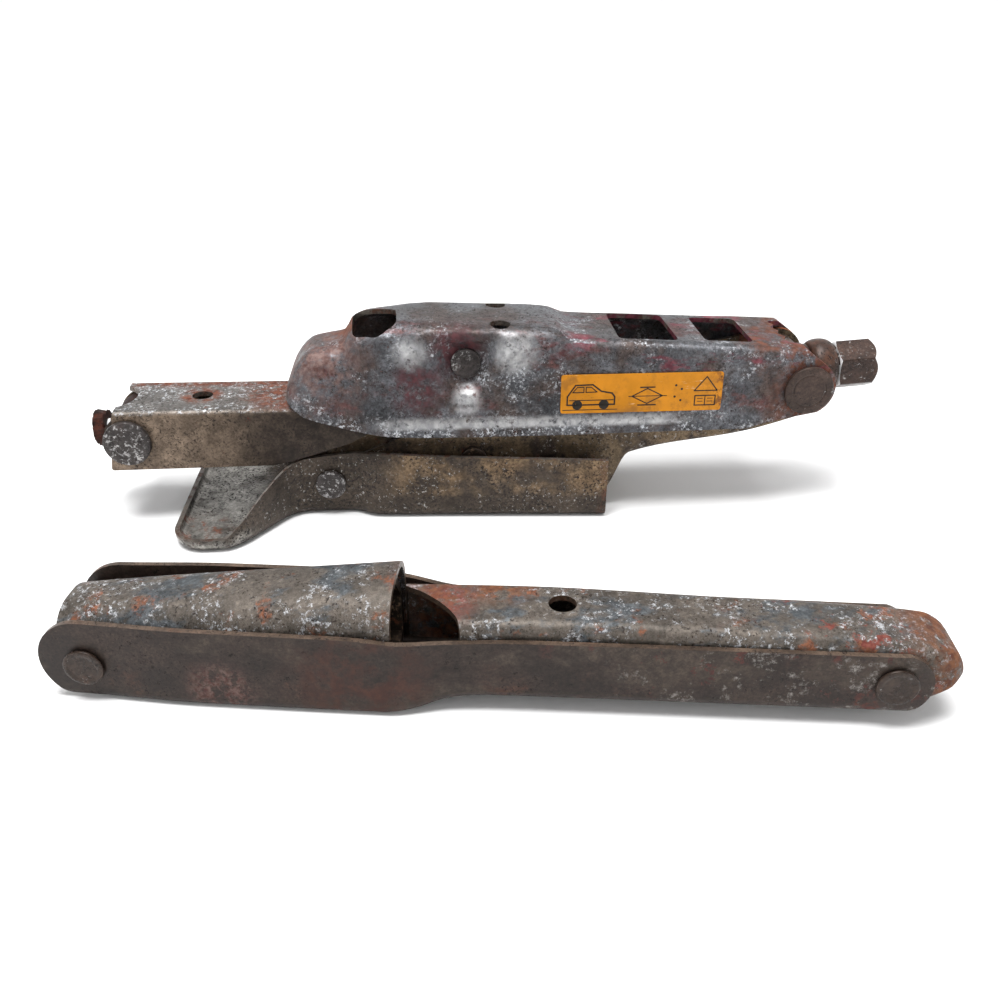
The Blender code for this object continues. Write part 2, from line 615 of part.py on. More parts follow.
def handle_pins():
    pins = (
        ("socket_link_pin", 0.0, SOCKET_PIN_HEIGHT, 20.4),
        ("grip_link_pin", HANDLE_PIN_SPAN, GRIP_PIN_HEIGHT, 16.0),
    )
    for name, x, z, half_grip in pins:
        pin = headed_pin(name, (x, z), half_grip, 7.2, 2.2, RUST, core_r=HANDLE_PIN_R)
        place_in_handle(pin)


def build():
    base_foot()
    headed_pin("foot_hinge_rivet", FOOT, WAIST_HALF + GAP, 7.0, 2.2, DARK_STEEL)
    lower_long_arm()
    pin_seat = long_arm_half(LOWER.x)
    headed_pin(
        "lower_center_pin", LOWER, pin_seat + GAP, 8.0, 2.3, DARK_STEEL,
        shoulder=(12.4 + GAP, pin_seat - SHEET - GAP, 7.5),
    )
    lower_short_arm()
    upper_short_arm()
    upper_long_arm()
    headed_pin("upper_center_pin", UPPER, SHELL_PINCH_HALF + GAP, 6.8, 1.9, GREY_STEEL)
    label_plate()
    left_trunnion()
    right_trunnion()
    screw_train()
    crank_arm()
    socket_link()
    wrench_socket()
    grip_link()
    handle_pins()


clear_scene()
PARTS = new_collection("scissor_jack")
CUTTERS = new_collection("cutters")
GREY_STEEL = material("grey_steel", (0.34, 0.34, 0.33), 0.42, 0.9)
DIRTY_STEEL = material("dirty_steel", (0.28, 0.23, 0.17), 0.6, 0.6)
DARK_STEEL = material("dark_steel", (0.17, 0.14, 0.12), 0.5, 0.7)
GREASY_STEEL = material("greasy_steel", (0.12, 0.1, 0.08), 0.4, 0.7)
RUST = material("rusty_steel", (0.24, 0.13, 0.08), 0.75, 0.3)
LABEL = material("label_foil", (0.85, 0.5, 0.02), 0.45, 0.0)
HANDLE_FRAME = Matrix.Translation((HANDLE_PLACE[0] * MM, HANDLE_PLACE[1] * MM, 0)) @ Matrix.Rotation(
    HANDLE_YAW, 4, "Z"
)
build()
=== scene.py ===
import math

import bmesh
import bpy
from bpy.props import FloatProperty, FloatVectorProperty, PointerProperty
from mathutils import Matrix, Vector, noise


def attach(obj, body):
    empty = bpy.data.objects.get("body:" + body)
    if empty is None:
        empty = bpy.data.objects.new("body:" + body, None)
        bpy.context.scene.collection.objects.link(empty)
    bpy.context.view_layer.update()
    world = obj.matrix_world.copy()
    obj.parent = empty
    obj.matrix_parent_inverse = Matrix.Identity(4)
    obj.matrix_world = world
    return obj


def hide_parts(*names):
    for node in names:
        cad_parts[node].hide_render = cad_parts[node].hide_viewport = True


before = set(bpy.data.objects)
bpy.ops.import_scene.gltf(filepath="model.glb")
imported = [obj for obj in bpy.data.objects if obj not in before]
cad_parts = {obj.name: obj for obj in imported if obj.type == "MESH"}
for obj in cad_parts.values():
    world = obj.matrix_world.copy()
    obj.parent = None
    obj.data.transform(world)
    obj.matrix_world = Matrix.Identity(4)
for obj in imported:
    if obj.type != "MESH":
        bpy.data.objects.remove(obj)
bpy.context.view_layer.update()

bl_info = {
    "name": "Scissor Jack Looks",
    "version": (1, 0, 0),
    "blender": (4, 5, 0),
    "location": "3D View > Sidebar > Scissor Jack",
    "description": "Builds the visible pieces of a rusty scissor jack and its crank handle around the packed frame",
    "category": "Object",
}

# Lengths are in millimetres unless a name says otherwise; MM turns them into metres when a mesh is finished.
MM = 0.001

# Driving dimensions, as the CAD part has them
PIN_SPAN = 310.0
ARM_PITCH = 156.85
SCREW_TILT = math.radians(3.72)
SCREW_DIRECTION = Vector((math.cos(SCREW_TILT), math.sin(SCREW_TILT)))
ARM_RISE = math.acos(PIN_SPAN / 2 / ARM_PITCH)
LEFT = Vector((-88.8, 41.6))
RIGHT = LEFT + PIN_SPAN * SCREW_DIRECTION
UPPER = LEFT + ARM_PITCH * Vector((math.cos(SCREW_TILT + ARM_RISE), math.sin(SCREW_TILT + ARM_RISE)))
LOWER = LEFT + ARM_PITCH * Vector((math.cos(SCREW_TILT - ARM_RISE), math.sin(SCREW_TILT - ARM_RISE)))
FOOT = Vector((0.0, 16.5))
GAP = 0.3
PIN_R = 5.0
JOURNAL_R = 7.0
BARREL_R = 11.0
SCREW_R = 5.75
THREAD_ROOT_R = 4.7
HEX_ACROSS_FLATS = 21.0
COLLAR_R = 13.4
HANDLE_PIN_R = 4.5
EAR_R = 13.3
DRILL_R = 4.7
BORE_PLAY = 0.4
HEX_PLAY = 0.6

# Stations along the screw: the end stop from the left trunnion, the rest from the right one
STOP_START = -18.8
STOP_END = -12.9
THRUST_SEAT = 5.2
WASHER_END = 7.8
COLLAR_END = 21.0
HEX_END = 40.2

# Half widths of the nested channels
FOOT_END_HALF = 14.7
SHELL_EAR_HALF = 25.6
SHORT_ARM_HALF = 19.0
INNER_ARM_HALF = 16.5
SHORT_ARM_END_HALF = 12.4
SHELL_PINCH_HALF = 18.0
WAIST_HALF = 17.9

# Folded crank handle
HANDLE_YAW = math.radians(-8.0)
HANDLE_FRAME = Matrix.Translation((-72.8, -126.4, 0.0)) @ Matrix.Rotation(HANDLE_YAW, 4, "Z")
SOCKET_PIN = Vector((0.0, 15.0))
GRIP_PIN = Vector((279.0, 18.5))

FRONT = "front"
GROUND = "ground"
CUTTER_REACH = 60.0
EDGE_SLOT = 1  # material slot of cut edges and rims


# Shapes -----------------------------------------------------------------------------------------------------

def arc(centre, radius, start, stop, steps=16):
    """Points from start to stop degrees about a centre."""
    points = []
    for k in range(steps + 1):
        angle = math.radians(start + (stop - start) * k / steps)
        points.append((centre[0] + radius * math.cos(angle), centre[1] + radius * math.sin(angle)))
    return points


def flowing(*pairs):
    """A smooth function through (x, value) pairs that never runs past them."""
    xs, values = zip(*pairs)
    rises = [(b - a) / (x1 - x0) for a, b, x0, x1 in zip(values, values[1:], xs, xs[1:])]
    slopes = [rises[0]]
    slopes += [2 * a * b / (a + b) if a * b > 0 else 0.0 for a, b in zip(rises, rises[1:])]
    slopes.append(rises[-1])

    def value(x):
        if x <= xs[0]:
            return values[0]
        for k in range(len(xs) - 1):
            if x <= xs[k + 1]:
                run = xs[k + 1] - xs[k]
                t = (x - xs[k]) / run
                ease = t * t * (3 - 2 * t)
                swing = t * (1 - t) * ((1 - t) * slopes[k] - t * slopes[k + 1]) * run
                return values[k] + (values[k + 1] - values[k]) * ease + swing
        return values[-1]

    return value


def eased(points, radius, closed=False, steps=3):
    """The same path with each corner rounded off over about the given radius."""
    count = len(points)
    result = []
    for k, point in enumerate(points):
        if not closed and k in (0, count - 1):
            result.append(point)
            continue
        corner = Vector(point)
        before, after = Vector(points[k - 1]) - corner, Vector(points[(k + 1) % count]) - corner
        reach = min(radius, before.length * 0.45, after.length * 0.45)
        start, stop = corner + before.normalized() * reach, corner + after.normalized() * reach
        for step in range(steps + 1):
            t = step / steps
            result.append(tuple(start * (1 - t) ** 2 + corner * 2 * t * (1 - t) + stop * t * t))
    return result


def stations(start, stop, spacing):
    count = max(2, round((stop - start) / spacing))
    return [start + (stop - start) * k / count for k in range(count + 1)]


def across(centre):
    """Places a turned shape's axis along Y through a hinge centre, mid-plane at station 0."""
    return Matrix.Translation((centre[0], 0.0, centre[1])) @ Matrix.Rotation(-math.pi / 2, 4, "X")


def along_screw(station):
    """Places a turned shape's axis along the screw, station measured from the left trunnion."""
    point = LEFT + station * SCREW_DIRECTION
    return Matrix.Translation((point.x, 0.0, point.y)) @ Matrix.Rotation(math.pi / 2 - SCREW_TILT, 4, "Y")


def new_object(name, bm, finishes=()):
    """Makes an object of a bmesh that is still in millimetres."""
    mesh = bpy.data.meshes.new(name)
    bm.to_mesh(mesh)
    bm.free()
    for finish in finishes:
        mesh.materials.append(finish)
    made = bpy.data.objects.new(name, mesh)
    bpy.context.scene.collection.objects.link(made)
    return made


def prism(points, half_depth, plane, centre=0.0):
    """A cutter: a flat outline drawn out to both sides of a front or a ground plane."""
    bm = bmesh.new()
    face = bm.faces.new([bm.verts.new((x, y, -half_depth)) for x, y in points])
    raised = bmesh.ops.extrude_face_region(bm, geom=[face])["geom"]
    tops = [item for item in raised if isinstance(item, bmesh.types.BMVert)]
    bmesh.ops.translate(bm, vec=(0, 0, 2 * half_depth), verts=tops)
    bmesh.ops.recalc_face_normals(bm, faces=bm.faces)
    if plane == FRONT:
        bm.transform(Matrix.Translation((0, centre, 0)) @ Matrix.Rotation(math.pi / 2, 4, "X"))
    else:
        bm.transform(Matrix.Translation((0, 0, centre)))
    for face in bm.faces:
        face.material_index = EDGE_SLOT
    return new_object("cutter", bm)


def box(x_span, y_span, z_span):
    """A box cutter between two corners."""
    (left, right), (near, far), (low, high) = x_span, y_span, z_span
    corners = [(left, near), (right, near), (right, far), (left, far)]
    return prism(corners, (high - low) / 2, GROUND, centre=(low + high) / 2)


def turned_mesh(profile, place, segments=48):
    """Turns (radius, station) pairs about +Z, then moves that axis into place."""
    bm = bmesh.new()
    ring = [bm.verts.new((radius, 0.0, station)) for radius, station in profile]
    edges = [bm.edges.new(pair) for pair in zip(ring, ring[1:])]
    bmesh.ops.spin(
        bm, geom=ring + edges, cent=(0, 0, 0), axis=(0, 0, 1), angle=2 * math.pi, steps=segments, use_merge=True
    )
    bmesh.ops.remove_doubles(bm, verts=bm.verts, dist=0.001)
    bmesh.ops.recalc_face_normals(bm, faces=bm.faces)
    bm.transform(place)
    return bm


def turned(name, profile, place, finishes=(), segments=48):
    bm = turned_mesh(profile, place, segments)
    if not finishes:
        for face in bm.faces:
            face.material_index = EDGE_SLOT
    return new_object(name, bm, finishes)


def rod(radius, low, high, place, segments=48):
    """A round cutter between two stations."""
    return turned("cutter", [(0, low), (radius, low), (radius, high), (0, high)], place, segments=segments)


def hole(centre, radius):
    return rod(radius, -CUTTER_REACH, CUTTER_REACH, across(centre), 40)


def upright_drill(x, y, z_span, radius):
    """A drill along Z, turned a little so that its facets meet no mesh line head on."""
    return rod(radius, *z_span, Matrix.Translation((x, y, 0)) @ Matrix.Rotation(0.12, 4, "Z"), 36)


def combine(part, other, operation):
    step = part.modifiers.new(operation.lower(), "BOOLEAN")
    step.operation = operation
    step.object = other
    step.solver = "MANIFOLD"


def cut(part, *cutters):
    for cutter in cutters:
        combine(part, cutter, "DIFFERENCE")


def trim(part, outline, half_depth, *cutters):
    """Leaves of a piece what lies inside its outline in the front plane, less its cutters."""
    combine(part, prism(outline, half_depth, FRONT), "INTERSECT")
    cut(part, *cutters)


def settled(part, place, sharp):
    """Applies a piece's modifiers, removes its cutters, cleans it and moves it into place in metres."""
    cutters = {step.object for step in part.modifiers if step.type == "BOOLEAN"}
    mesh = bpy.data.meshes.new_from_object(part.evaluated_get(bpy.context.evaluated_depsgraph_get()))
    part.modifiers.clear()
    old = part.data
    part.data = mesh
    bpy.data.meshes.remove(old)
    mesh.name = part.name
    for cutter in cutters:
        shape = cutter.data
        bpy.data.objects.remove(cutter)
        bpy.data.meshes.remove(shape)
    bm = bmesh.new()
    bm.from_mesh(mesh)
    bmesh.ops.remove_doubles(bm, verts=bm.verts, dist=0.002)
    bmesh.ops.dissolve_degenerate(bm, dist=0.002, edges=bm.edges)
    loose = [vert for vert in bm.verts if not vert.link_faces]
    bmesh.ops.delete(bm, geom=loose, context="VERTS")
    bm.transform(Matrix.Scale(MM, 4) @ (place or Matrix.Identity(4)))
    bm.to_mesh(mesh)
    bm.free()
    mesh.shade_smooth()
    mesh.set_sharp_from_angle(angle=math.radians(sharp))


def place_piece(part, body, node, place=None, sharp=38.0):
    """Finishes a piece, ties it to its body and hides the CAD node it replaces."""
    settled(part, place, sharp)
    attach(part, body)
    if node:
        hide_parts(node)


def channel_section(half_web, half_rim, web, rim, bend, wall_steps=8, bend_steps=7, web_steps=5):
    """A pressed channel's section from the near rim over the web to the far rim, as (y, z) points."""
    way = 1 if web > rim else -1
    turn_z = web - way * bend
    near = []
    for k in range(wall_steps):
        up = k / wall_steps
        near.append((-half_rim + (half_rim - half_web) * up, rim + (turn_z - rim) * up))
    for k in range(bend_steps):
        angle = math.pi / 2 * k / bend_steps
        near.append((-half_web + bend * (1 - math.cos(angle)), web - way * bend * (1 - math.sin(angle))))
    for k in range(web_steps):
        near.append(((-half_web + bend) * (1 - k / web_steps), web))
    return near + [(0.0, web)] + [(-y, z) for y, z in reversed(near)]


def sheet_metal(part, thickness):
    """Gives a surface its thickness inwards."""
    wall = part.modifiers.new("sheet", "SOLIDIFY")
    wall.thickness = thickness
    wall.offset = -1.0
    wall.use_even_offset = True
    wall.material_offset_rim = EDGE_SLOT
    return part


def pressed_channel(name, xs, section, finishes, sheet, pressed=None):
    """A channel of sheet metal whose section changes along X; pressed moves single points of the sheet."""
    rows = [section(x) for x in xs]
    bm = bmesh.new()
    long_way, short_way = len(xs) - 1, len(rows[0]) - 1
    bmesh.ops.create_grid(bm, x_segments=long_way, y_segments=short_way, size=0.5)
    for vert in bm.verts:
        row, column = round((vert.co.x + 0.5) * long_way), round((vert.co.y + 0.5) * short_way)
        y, z = rows[row][column]
        vert.co = pressed(xs[row], y, z) if pressed else (xs[row], y, z)
    bm.normal_update()
    opens_down = rows[0][short_way // 2][1] > rows[0][0][1]
    lean = sum(face.normal.z * face.calc_area() for face in bm.faces)
    if (lean > 0) != opens_down:
        bmesh.ops.reverse_faces(bm, faces=bm.faces)
    return sheet_metal(new_object(name, bm, finishes), sheet)


# Finishes ---------------------------------------------------------------------------------------------------

def tone(code):
    """Linear colour from a six-digit hex code; a colour that is linear already stays as it is."""
    if not isinstance(code, str):
        return tuple(code)
    parts = [int(code[k : k + 2], 16) / 255 for k in (0, 2, 4)]
    return tuple(c / 12.92 if c <= 0.04045 else ((c + 0.055) / 1.055) ** 2.4 for c in parts)


def colour_setting(name, code, description):
    return FloatVectorProperty(
        name=name, description=description, default=tone(code), subtype="COLOR", min=0.0, max=1.0
    )


DULL_SPECULAR = 0.3
BUILD_UNIT = 0.0001  # metres of relief for a build of 1


class Finish:
    """A procedural finish laid on in coats, read from the piece's Object coordinates in metres."""

    def __init__(self, name, turn=0.0):
        self.material = bpy.data.materials.new(name)
        self.material.use_nodes = True
        self.tree = self.material.node_tree
        self.shader = self.tree.nodes["Principled BSDF"]
        mapping = self.tree.nodes.new("ShaderNodeMapping")
        mapping.inputs["Rotation"].default_value = (0.0, 0.0, turn)
        self.tree.links.new(self.tree.nodes.new("ShaderNodeTexCoord").outputs["Object"], mapping.inputs["Vector"])
        self.place = mapping.outputs["Vector"]
        self.colour = self.roughness = self.metal = self.height = None

    def node(self, kind, inputs, **settings):
        made = self.tree.nodes.new(kind)
        for key, value in settings.items():
            setattr(made, key, value)
        for key, value in inputs.items():
            if isinstance(value, bpy.types.NodeSocket):
                self.tree.links.new(value, made.inputs[key])
            else:
                made.inputs[key].default_value = value
        return made

    def maths(self, operation, a, b):
        return self.node("ShaderNodeMath", {0: a, 1: b}, operation=operation).outputs[0]

    def grain(self, size, detail=5.0, rough=0.6, stretch=(1, 1, 1), seed=0.0):
        """Noise whose features are about size millimetres across, drawn out by stretch."""
        where = self.place
        if stretch != (1, 1, 1):
            scale = tuple(1 / s for s in stretch)
            where = self.node("ShaderNodeMapping", {"Vector": where, "Scale": scale}).outputs[0]
        inputs = {"Vector": where, "W": seed, "Scale": 1 / (size * MM), "Detail": detail, "Roughness": rough}
        return self.node("ShaderNodeTexNoise", inputs, noise_dimensions="4D").outputs["Fac"]

    def rise(self, value, low, high):
        """0 below low and 1 above high, or the other way round where low is above high."""
        inputs = {"Value": value, "From Min": low, "From Max": high}
        return self.node("ShaderNodeMapRange", inputs, interpolation_type="SMOOTHSTEP").outputs["Result"]

    def clouds(self, low, high, size, rough=0.72, detail=6, stretch=(1, 1, 1), seed=0.0):
        """A mask of noise patches about size millimetres across, 0 below low and 1 above high."""
        return self.rise(self.grain(size, detail, rough, stretch, seed), low, high)

    def near(self, x, y, z, inner, outer):
        """1 within inner millimetres of a point, falling to 0 at outer."""
        point = (x * MM, y * MM, z * MM)
        away = self.node("ShaderNodeVectorMath", {0: self.place, 1: point}, operation="DISTANCE").outputs["Value"]
        return self.rise(away, outer * MM, inner * MM)

    def along(self, axis, low, high):
        """0 to 1 as the X, Y or Z coordinate runs from low to high millimetres."""
        parts = self.node("ShaderNodeSeparateXYZ", {0: self.place})
        return self.rise(parts.outputs[axis], low * MM, high * MM)

    def both(self, *masks):
        made = masks[0]
        for mask in masks[1:]:
            made = self.maths("MULTIPLY", made, mask)
        return made

    def either(self, *masks):
        made = masks[0]
        for mask in masks[1:]:
            made = self.maths("MAXIMUM", made, mask)
        return made

    def blend(self, mask, a, b):
        if isinstance(a, tuple) or isinstance(b, tuple) or getattr(a, "type", "") == "RGBA":
            a = (*a, 1.0) if isinstance(a, tuple) and len(a) == 3 else a
            b = (*b, 1.0) if isinstance(b, tuple) and len(b) == 3 else b
            mix = self.node("ShaderNodeMix", {0: mask, 6: a, 7: b}, data_type="RGBA")
            return mix.outputs[2]
        return self.node("ShaderNodeMix", {0: mask, 2: a, 3: b}, data_type="FLOAT").outputs[0]

    def ground(self, first, lift, roughness, metal, size=9.0, seed=0.0, stretch=(1, 1, 1)):
        """The bare surface: a colour and its lift times brighter one in soft clouds."""
        clouds = self.rise(self.grain(size, 6, 0.62, stretch, seed), 0.36, 0.64)
        base = tone(first)
        self.colour = self.blend(clouds, base, tuple(min(1.0, part * lift) for part in base))
        self.roughness = self.blend(clouds, roughness - 0.05, roughness + 0.07)
        self.metal = metal
        self.height = self.maths("MULTIPLY", self.grain(0.9, 4, 0.7, seed=seed + 3), 0.25)

    def coat(self, mask, first, second, roughness, metal=0.0, build=0.0, size=3.0, seed=0.0):
        """A layer over the rest where mask is 1; build is its thickness in tenths of a millimetre."""
        shade = self.blend(self.rise(self.grain(size, 5, 0.6, seed=seed), 0.35, 0.65), tone(first), tone(second))
        self.colour = self.blend(mask, self.colour, shade)
        self.roughness = self.blend(mask, self.roughness, roughness)
        self.metal = self.blend(mask, self.metal, metal)
        if build:
            self.height = self.maths("ADD", self.height, self.maths("MULTIPLY", mask, build))

    def mottle(self, size, strength, seed=0.0):
        """Darkens and lightens the colour in fine grains."""
        spread = self.node("ShaderNodeMapRange", {
            "Value": self.grain(size, 4, 0.75, seed=seed), "From Min": 0.33, "From Max": 0.67,
            "To Min": 1 - strength, "To Max": 1 + strength,
        }).outputs["Result"]
        mix = self.node("ShaderNodeMix", {0: 1.0, 6: self.colour, 7: spread}, data_type="RGBA", blend_type="MULTIPLY")
        self.colour = mix.outputs[2]

    def done(self, bump=0.5):
        links = self.tree.links
        links.new(self.colour, self.shader.inputs["Base Color"])
        for value, socket in ((self.roughness, "Roughness"), (self.metal, "Metallic")):
            if isinstance(value, float):
                self.shader.inputs[socket].default_value = value
            else:
                links.new(value, self.shader.inputs[socket])
        self.shader.inputs["Specular IOR Level"].default_value = DULL_SPECULAR
        relief = self.node("ShaderNodeBump", {"Height": self.height, "Strength": bump, "Distance": BUILD_UNIT})
        links.new(relief.outputs["Normal"], self.shader.inputs["Normal"])
        return self.material


def scattered(finish, size, low, high, seed, patch=14.0, patch_low=0.45, patch_high=0.6):
    """Fine flecks that gather in patches."""
    flecks = finish.rise(finish.grain(size, 5, 0.75, seed=seed), low, high)
    patches = finish.rise(finish.grain(patch, 4, 0.6, seed=seed + 7), patch_low, patch_high)
    return finish.both(flecks, patches)


def zinc_shell_finish(colours):
    """Bluish grey plated sheet: mottled, dirty in clouds, bloomed white low down, with painted highlights on the skirt
    ridge and round the upper pin, rusty at the torn back.
    """
    f = Finish("zinc_shell")
    f.ground(colours.plate, 2.1, 0.34, 0.8, size=15, seed=1, stretch=(1.6, 1, 1))
    f.coat(f.clouds(0.43, 0.6, 24, 0.68, seed=5), "3b3432", "534844", 0.46, 0.55, size=4, seed=6)
    purple = f.clouds(0.53, 0.64, 19, stretch=(1.7, 1, 1), seed=15)
    f.coat(purple, "472b2b", "5c3f3d", 0.5, 0.4, size=4, seed=7)
    f.mottle(1.3, 0.5, 60)
    f.mottle(4.0, 0.28, 61)
    f.coat(scattered(f, 1.3, 0.52, 0.6, 11, 20, 0.36, 0.56), "1d1817", "352c29", 0.65, 0.2, -0.3, seed=2)
    low = f.either(f.along("Z", 58, 46), f.clouds(0.48, 0.62, 17, 0.65, detail=5, seed=18))
    bloom = f.both(f.clouds(0.5, 0.6, 1.5, 0.78, detail=5, seed=17), f.clouds(0.42, 0.56, 11, 0.7, detail=5, seed=19))
    f.coat(f.both(bloom, low), "a5a7ac", "d5d8dc", 0.5, 0.35, 0.3, seed=3)
    # Painted highlights, not wear: the mask named worn lays a light, glossy coat as a band on the flared skirt ridge
    # and as three spots on the ridge round the upper pin's flat, where highlights fall.
    worn = f.either(
        f.both(f.along("Z", 45.5, 47.5), f.along("Z", 52.5, 49.5), f.along("X", 18, 40), f.along("X", 172, 150)),
        f.near(UPPER.x - 25, -24, UPPER.y + 6, 2, 10), f.near(UPPER.x, -23, UPPER.y - 16, 2, 9),
        f.near(UPPER.x + 22, -24, UPPER.y + 6, 2, 13),
    )
    f.coat(f.both(worn, f.clouds(0.32, 0.5, 3, 0.7, seed=24)), "98989a", "c2c2c2", 0.3, 0.85, seed=13)
    nose = f.both(f.near(2, 0, 74, 14, 36), f.clouds(0.38, 0.58, 6, 0.7, seed=21))
    f.coat(nose, "543833", "7b655f", 0.6, 0.2, 0.25, size=2.5, seed=4)
    recess = f.either(f.near(UPPER.x - 4, -19, UPPER.y + 7, 5, 17), f.near(UPPER.x - 22, -24, UPPER.y - 10, 4, 17))
    f.coat(f.both(recess, f.clouds(0.36, 0.56, 5, seed=23)), "3a1f22", "5a3236", 0.6, 0.15, 0.2, seed=8)
    rust = f.both(
        f.either(f.along("X", 196, 216), f.near(14, 0, 92, 8, 20), f.near(206, -10, 80, 8, 26)),
        f.clouds(0.4, 0.58, 8, seed=31),
    )
    f.coat(rust, "4a2a1d", colours.rust, 0.85, 0.0, 0.5, size=2.5, seed=9)
    streaks = f.both(
        f.clouds(0.53, 0.63, 9, stretch=(2.6, 1, 1), seed=41), f.along("X", 96, 120), f.along("Z", 58, 76)
    )
    f.coat(streaks, "501f2a", "7a424a", 0.6, 0.1, 0.2, size=3, seed=10)
    f.coat(f.clouds(0.63, 0.7, 4, 0.78, seed=51), "6b3523", "45251b", 0.85, 0.0, 0.4, seed=12)
    return f.done(0.7)


def zinc_arm_finish(colours):
    """The short upper arm: grey web with white speckle and rust, beige side with painted shade darkening it to the
    right, towards and under the shell's nose.
    """
    f = Finish("zinc_short_arm")
    f.ground("55524f", 1.7, 0.42, 0.6, size=11, seed=2)
    side = f.along("Z", 56.0, 53.2)
    f.coat(side, "5c4f43", "786859", 0.42, 0.45, size=7, seed=13)
    # Painted shade: the side darkens from x -56 to -22 and stays dark where it runs in under the shell's nose.
    f.coat(f.both(side, f.along("X", -56, -22)), "28211d", "40362e", 0.5, 0.35, size=6, seed=14)
    f.mottle(1.2, 0.42, 62)
    f.mottle(4.5, 0.25, 63)
    f.coat(scattered(f, 1.2, 0.52, 0.6, 15, 16, 0.36, 0.56), "15110f", "2a211d", 0.65, 0.2, -0.3, seed=5)
    bloom = f.both(f.along("Z", 53.5, 55.2), f.clouds(0.51, 0.61, 1.6, 0.78, detail=5, seed=19),
                   f.clouds(0.4, 0.52, 10, 0.7, detail=5, seed=20))
    f.coat(bloom, "a9acb0", "dadcdf", 0.6, 0.25, 0.3, seed=6)
    top = f.along("Z", 53.5, 55.3)
    edge = f.either(f.along("Y", 7, 14), f.near(-16, 0, 55, 12, 30), f.near(-58, 0, 55, 7, 12))
    f.coat(f.both(top, edge, f.clouds(0.38, 0.56, 5, seed=25)), "4a2419", colours.rust, 0.85, 0.0, 0.5,
           size=2, seed=7)
    f.coat(f.clouds(0.635, 0.69, 4.5, 0.78, seed=33), "3d1c12", "6b3722", 0.85, 0.0, 0.5, seed=8)
    return f.done(0.7)


def drab_arm_finish(colours):
    """Beige, dirty plating of the two lower arms."""
    f = Finish("drab_lower_arms")
    f.ground(colours.beige, 1.65, 0.44, 0.5, size=13, seed=4, stretch=(2, 1, 1))
    f.coat(f.clouds(0.46, 0.6, 18, 0.7, seed=9), "2a231e", "3f342c", 0.55, 0.3, size=4, seed=1)
    f.mottle(1.2, 0.42, 64)
    f.mottle(4.5, 0.25, 65)
    f.coat(scattered(f, 1.3, 0.52, 0.6, 12, 16, 0.38, 0.56), "120e0c", "251c18", 0.65, 0.15, -0.3, seed=5)
    f.coat(scattered(f, 1.6, 0.56, 0.64, 22, 12, 0.46, 0.58), "8f8a85", "b5b0aa", 0.6, 0.2, 0.3, seed=6)
    f.coat(f.clouds(0.6, 0.67, 7, 0.74, seed=32), "4a2418", "703c25", 0.85, 0.0, 0.4, seed=7)
    return f.done(0.65)


def foot_finish(colours):
    """Dark brown-grey foot with a worn, polished toe floor that is also painted bright as a highlight, beige flanks,
    black speckle and a rusty open end.
    """
    f = Finish("dark_foot")
    f.ground(colours.foot, 1.9, 0.42, 0.55, size=12, seed=5, stretch=(1.8, 1, 1))
    flank = f.both(f.along("X", 18, 45), f.along("Z", 10, 16), f.clouds(0.38, 0.58, 20, 0.65, detail=5, seed=16))
    f.coat(flank, "5f4d3a", "7c674f", 0.42, 0.5, size=6, seed=17)
    # Wear and painted highlight: the toe floor is polished metal, and its colour is also lightened where the highlight
    # falls.
    toe_wear_and_highlight = f.both(f.along("X", -30, -42), f.along("Z", 10, 4), f.clouds(0.3, 0.48, 13, 0.6, detail=5, seed=2))
    f.coat(toe_wear_and_highlight, "6f6c67", "95928c", 0.3, 0.8, size=8, seed=3)
    f.mottle(1.3, 0.45, 66)
    f.mottle(4.5, 0.28, 67)
    f.coat(scattered(f, 1.3, 0.5, 0.58, 13, 14, 0.38, 0.55), "0f0c0b", "211a16", 0.62, 0.2, -0.3, seed=6)
    f.coat(scattered(f, 1.6, 0.57, 0.65, 23, 11, 0.44, 0.57), "8d8a87", "b9b6b2", 0.6, 0.25, 0.3, seed=8)
    rust = f.both(
        f.either(f.along("X", 122, 136), f.near(-60, -34, 4, 8, 20)), f.clouds(0.46, 0.62, 5, 0.74, seed=33)
    )
    f.coat(rust, "3c1f14", colours.rust, 0.85, 0.0, 0.5, size=2.5, seed=9)
    return f.done(0.65)


def rust_finish(name, dark, mid, orange, share, turn=0.0, bloom=0.5, roughness=0.72, seed=0.0):
    """Rusted steel: brown scale with orange-red patches and pale bloom."""
    f = Finish(name, turn)
    f.ground(dark, 2.0, roughness - 0.14, 0.25, size=12, seed=seed + 6, stretch=(1.6, 1, 1))
    f.coat(f.rise(f.grain(17, 6, 0.68, seed=seed + 11), 0.62 - share, 0.8 - share), orange, mid, roughness, 0.05,
           0.35, size=4, seed=seed + 2)
    f.mottle(1.2, 0.42, seed + 68)
    f.mottle(4.0, 0.24, seed + 69)
    f.coat(scattered(f, 1.4, 0.54, 0.62, seed + 14, 14, 0.38, 0.55), "0e0a08", "1f1612", 0.8, 0.0, -0.4, seed=seed)
    if bloom:
        f.coat(scattered(f, 1.8, 0.66 - bloom * 0.22, 0.74 - bloom * 0.22, seed + 24, 15, 0.46, 0.58),
               "8d8b8b", "b9b6b4", 0.75, 0.05, 0.3, seed=seed + 8)
    return f


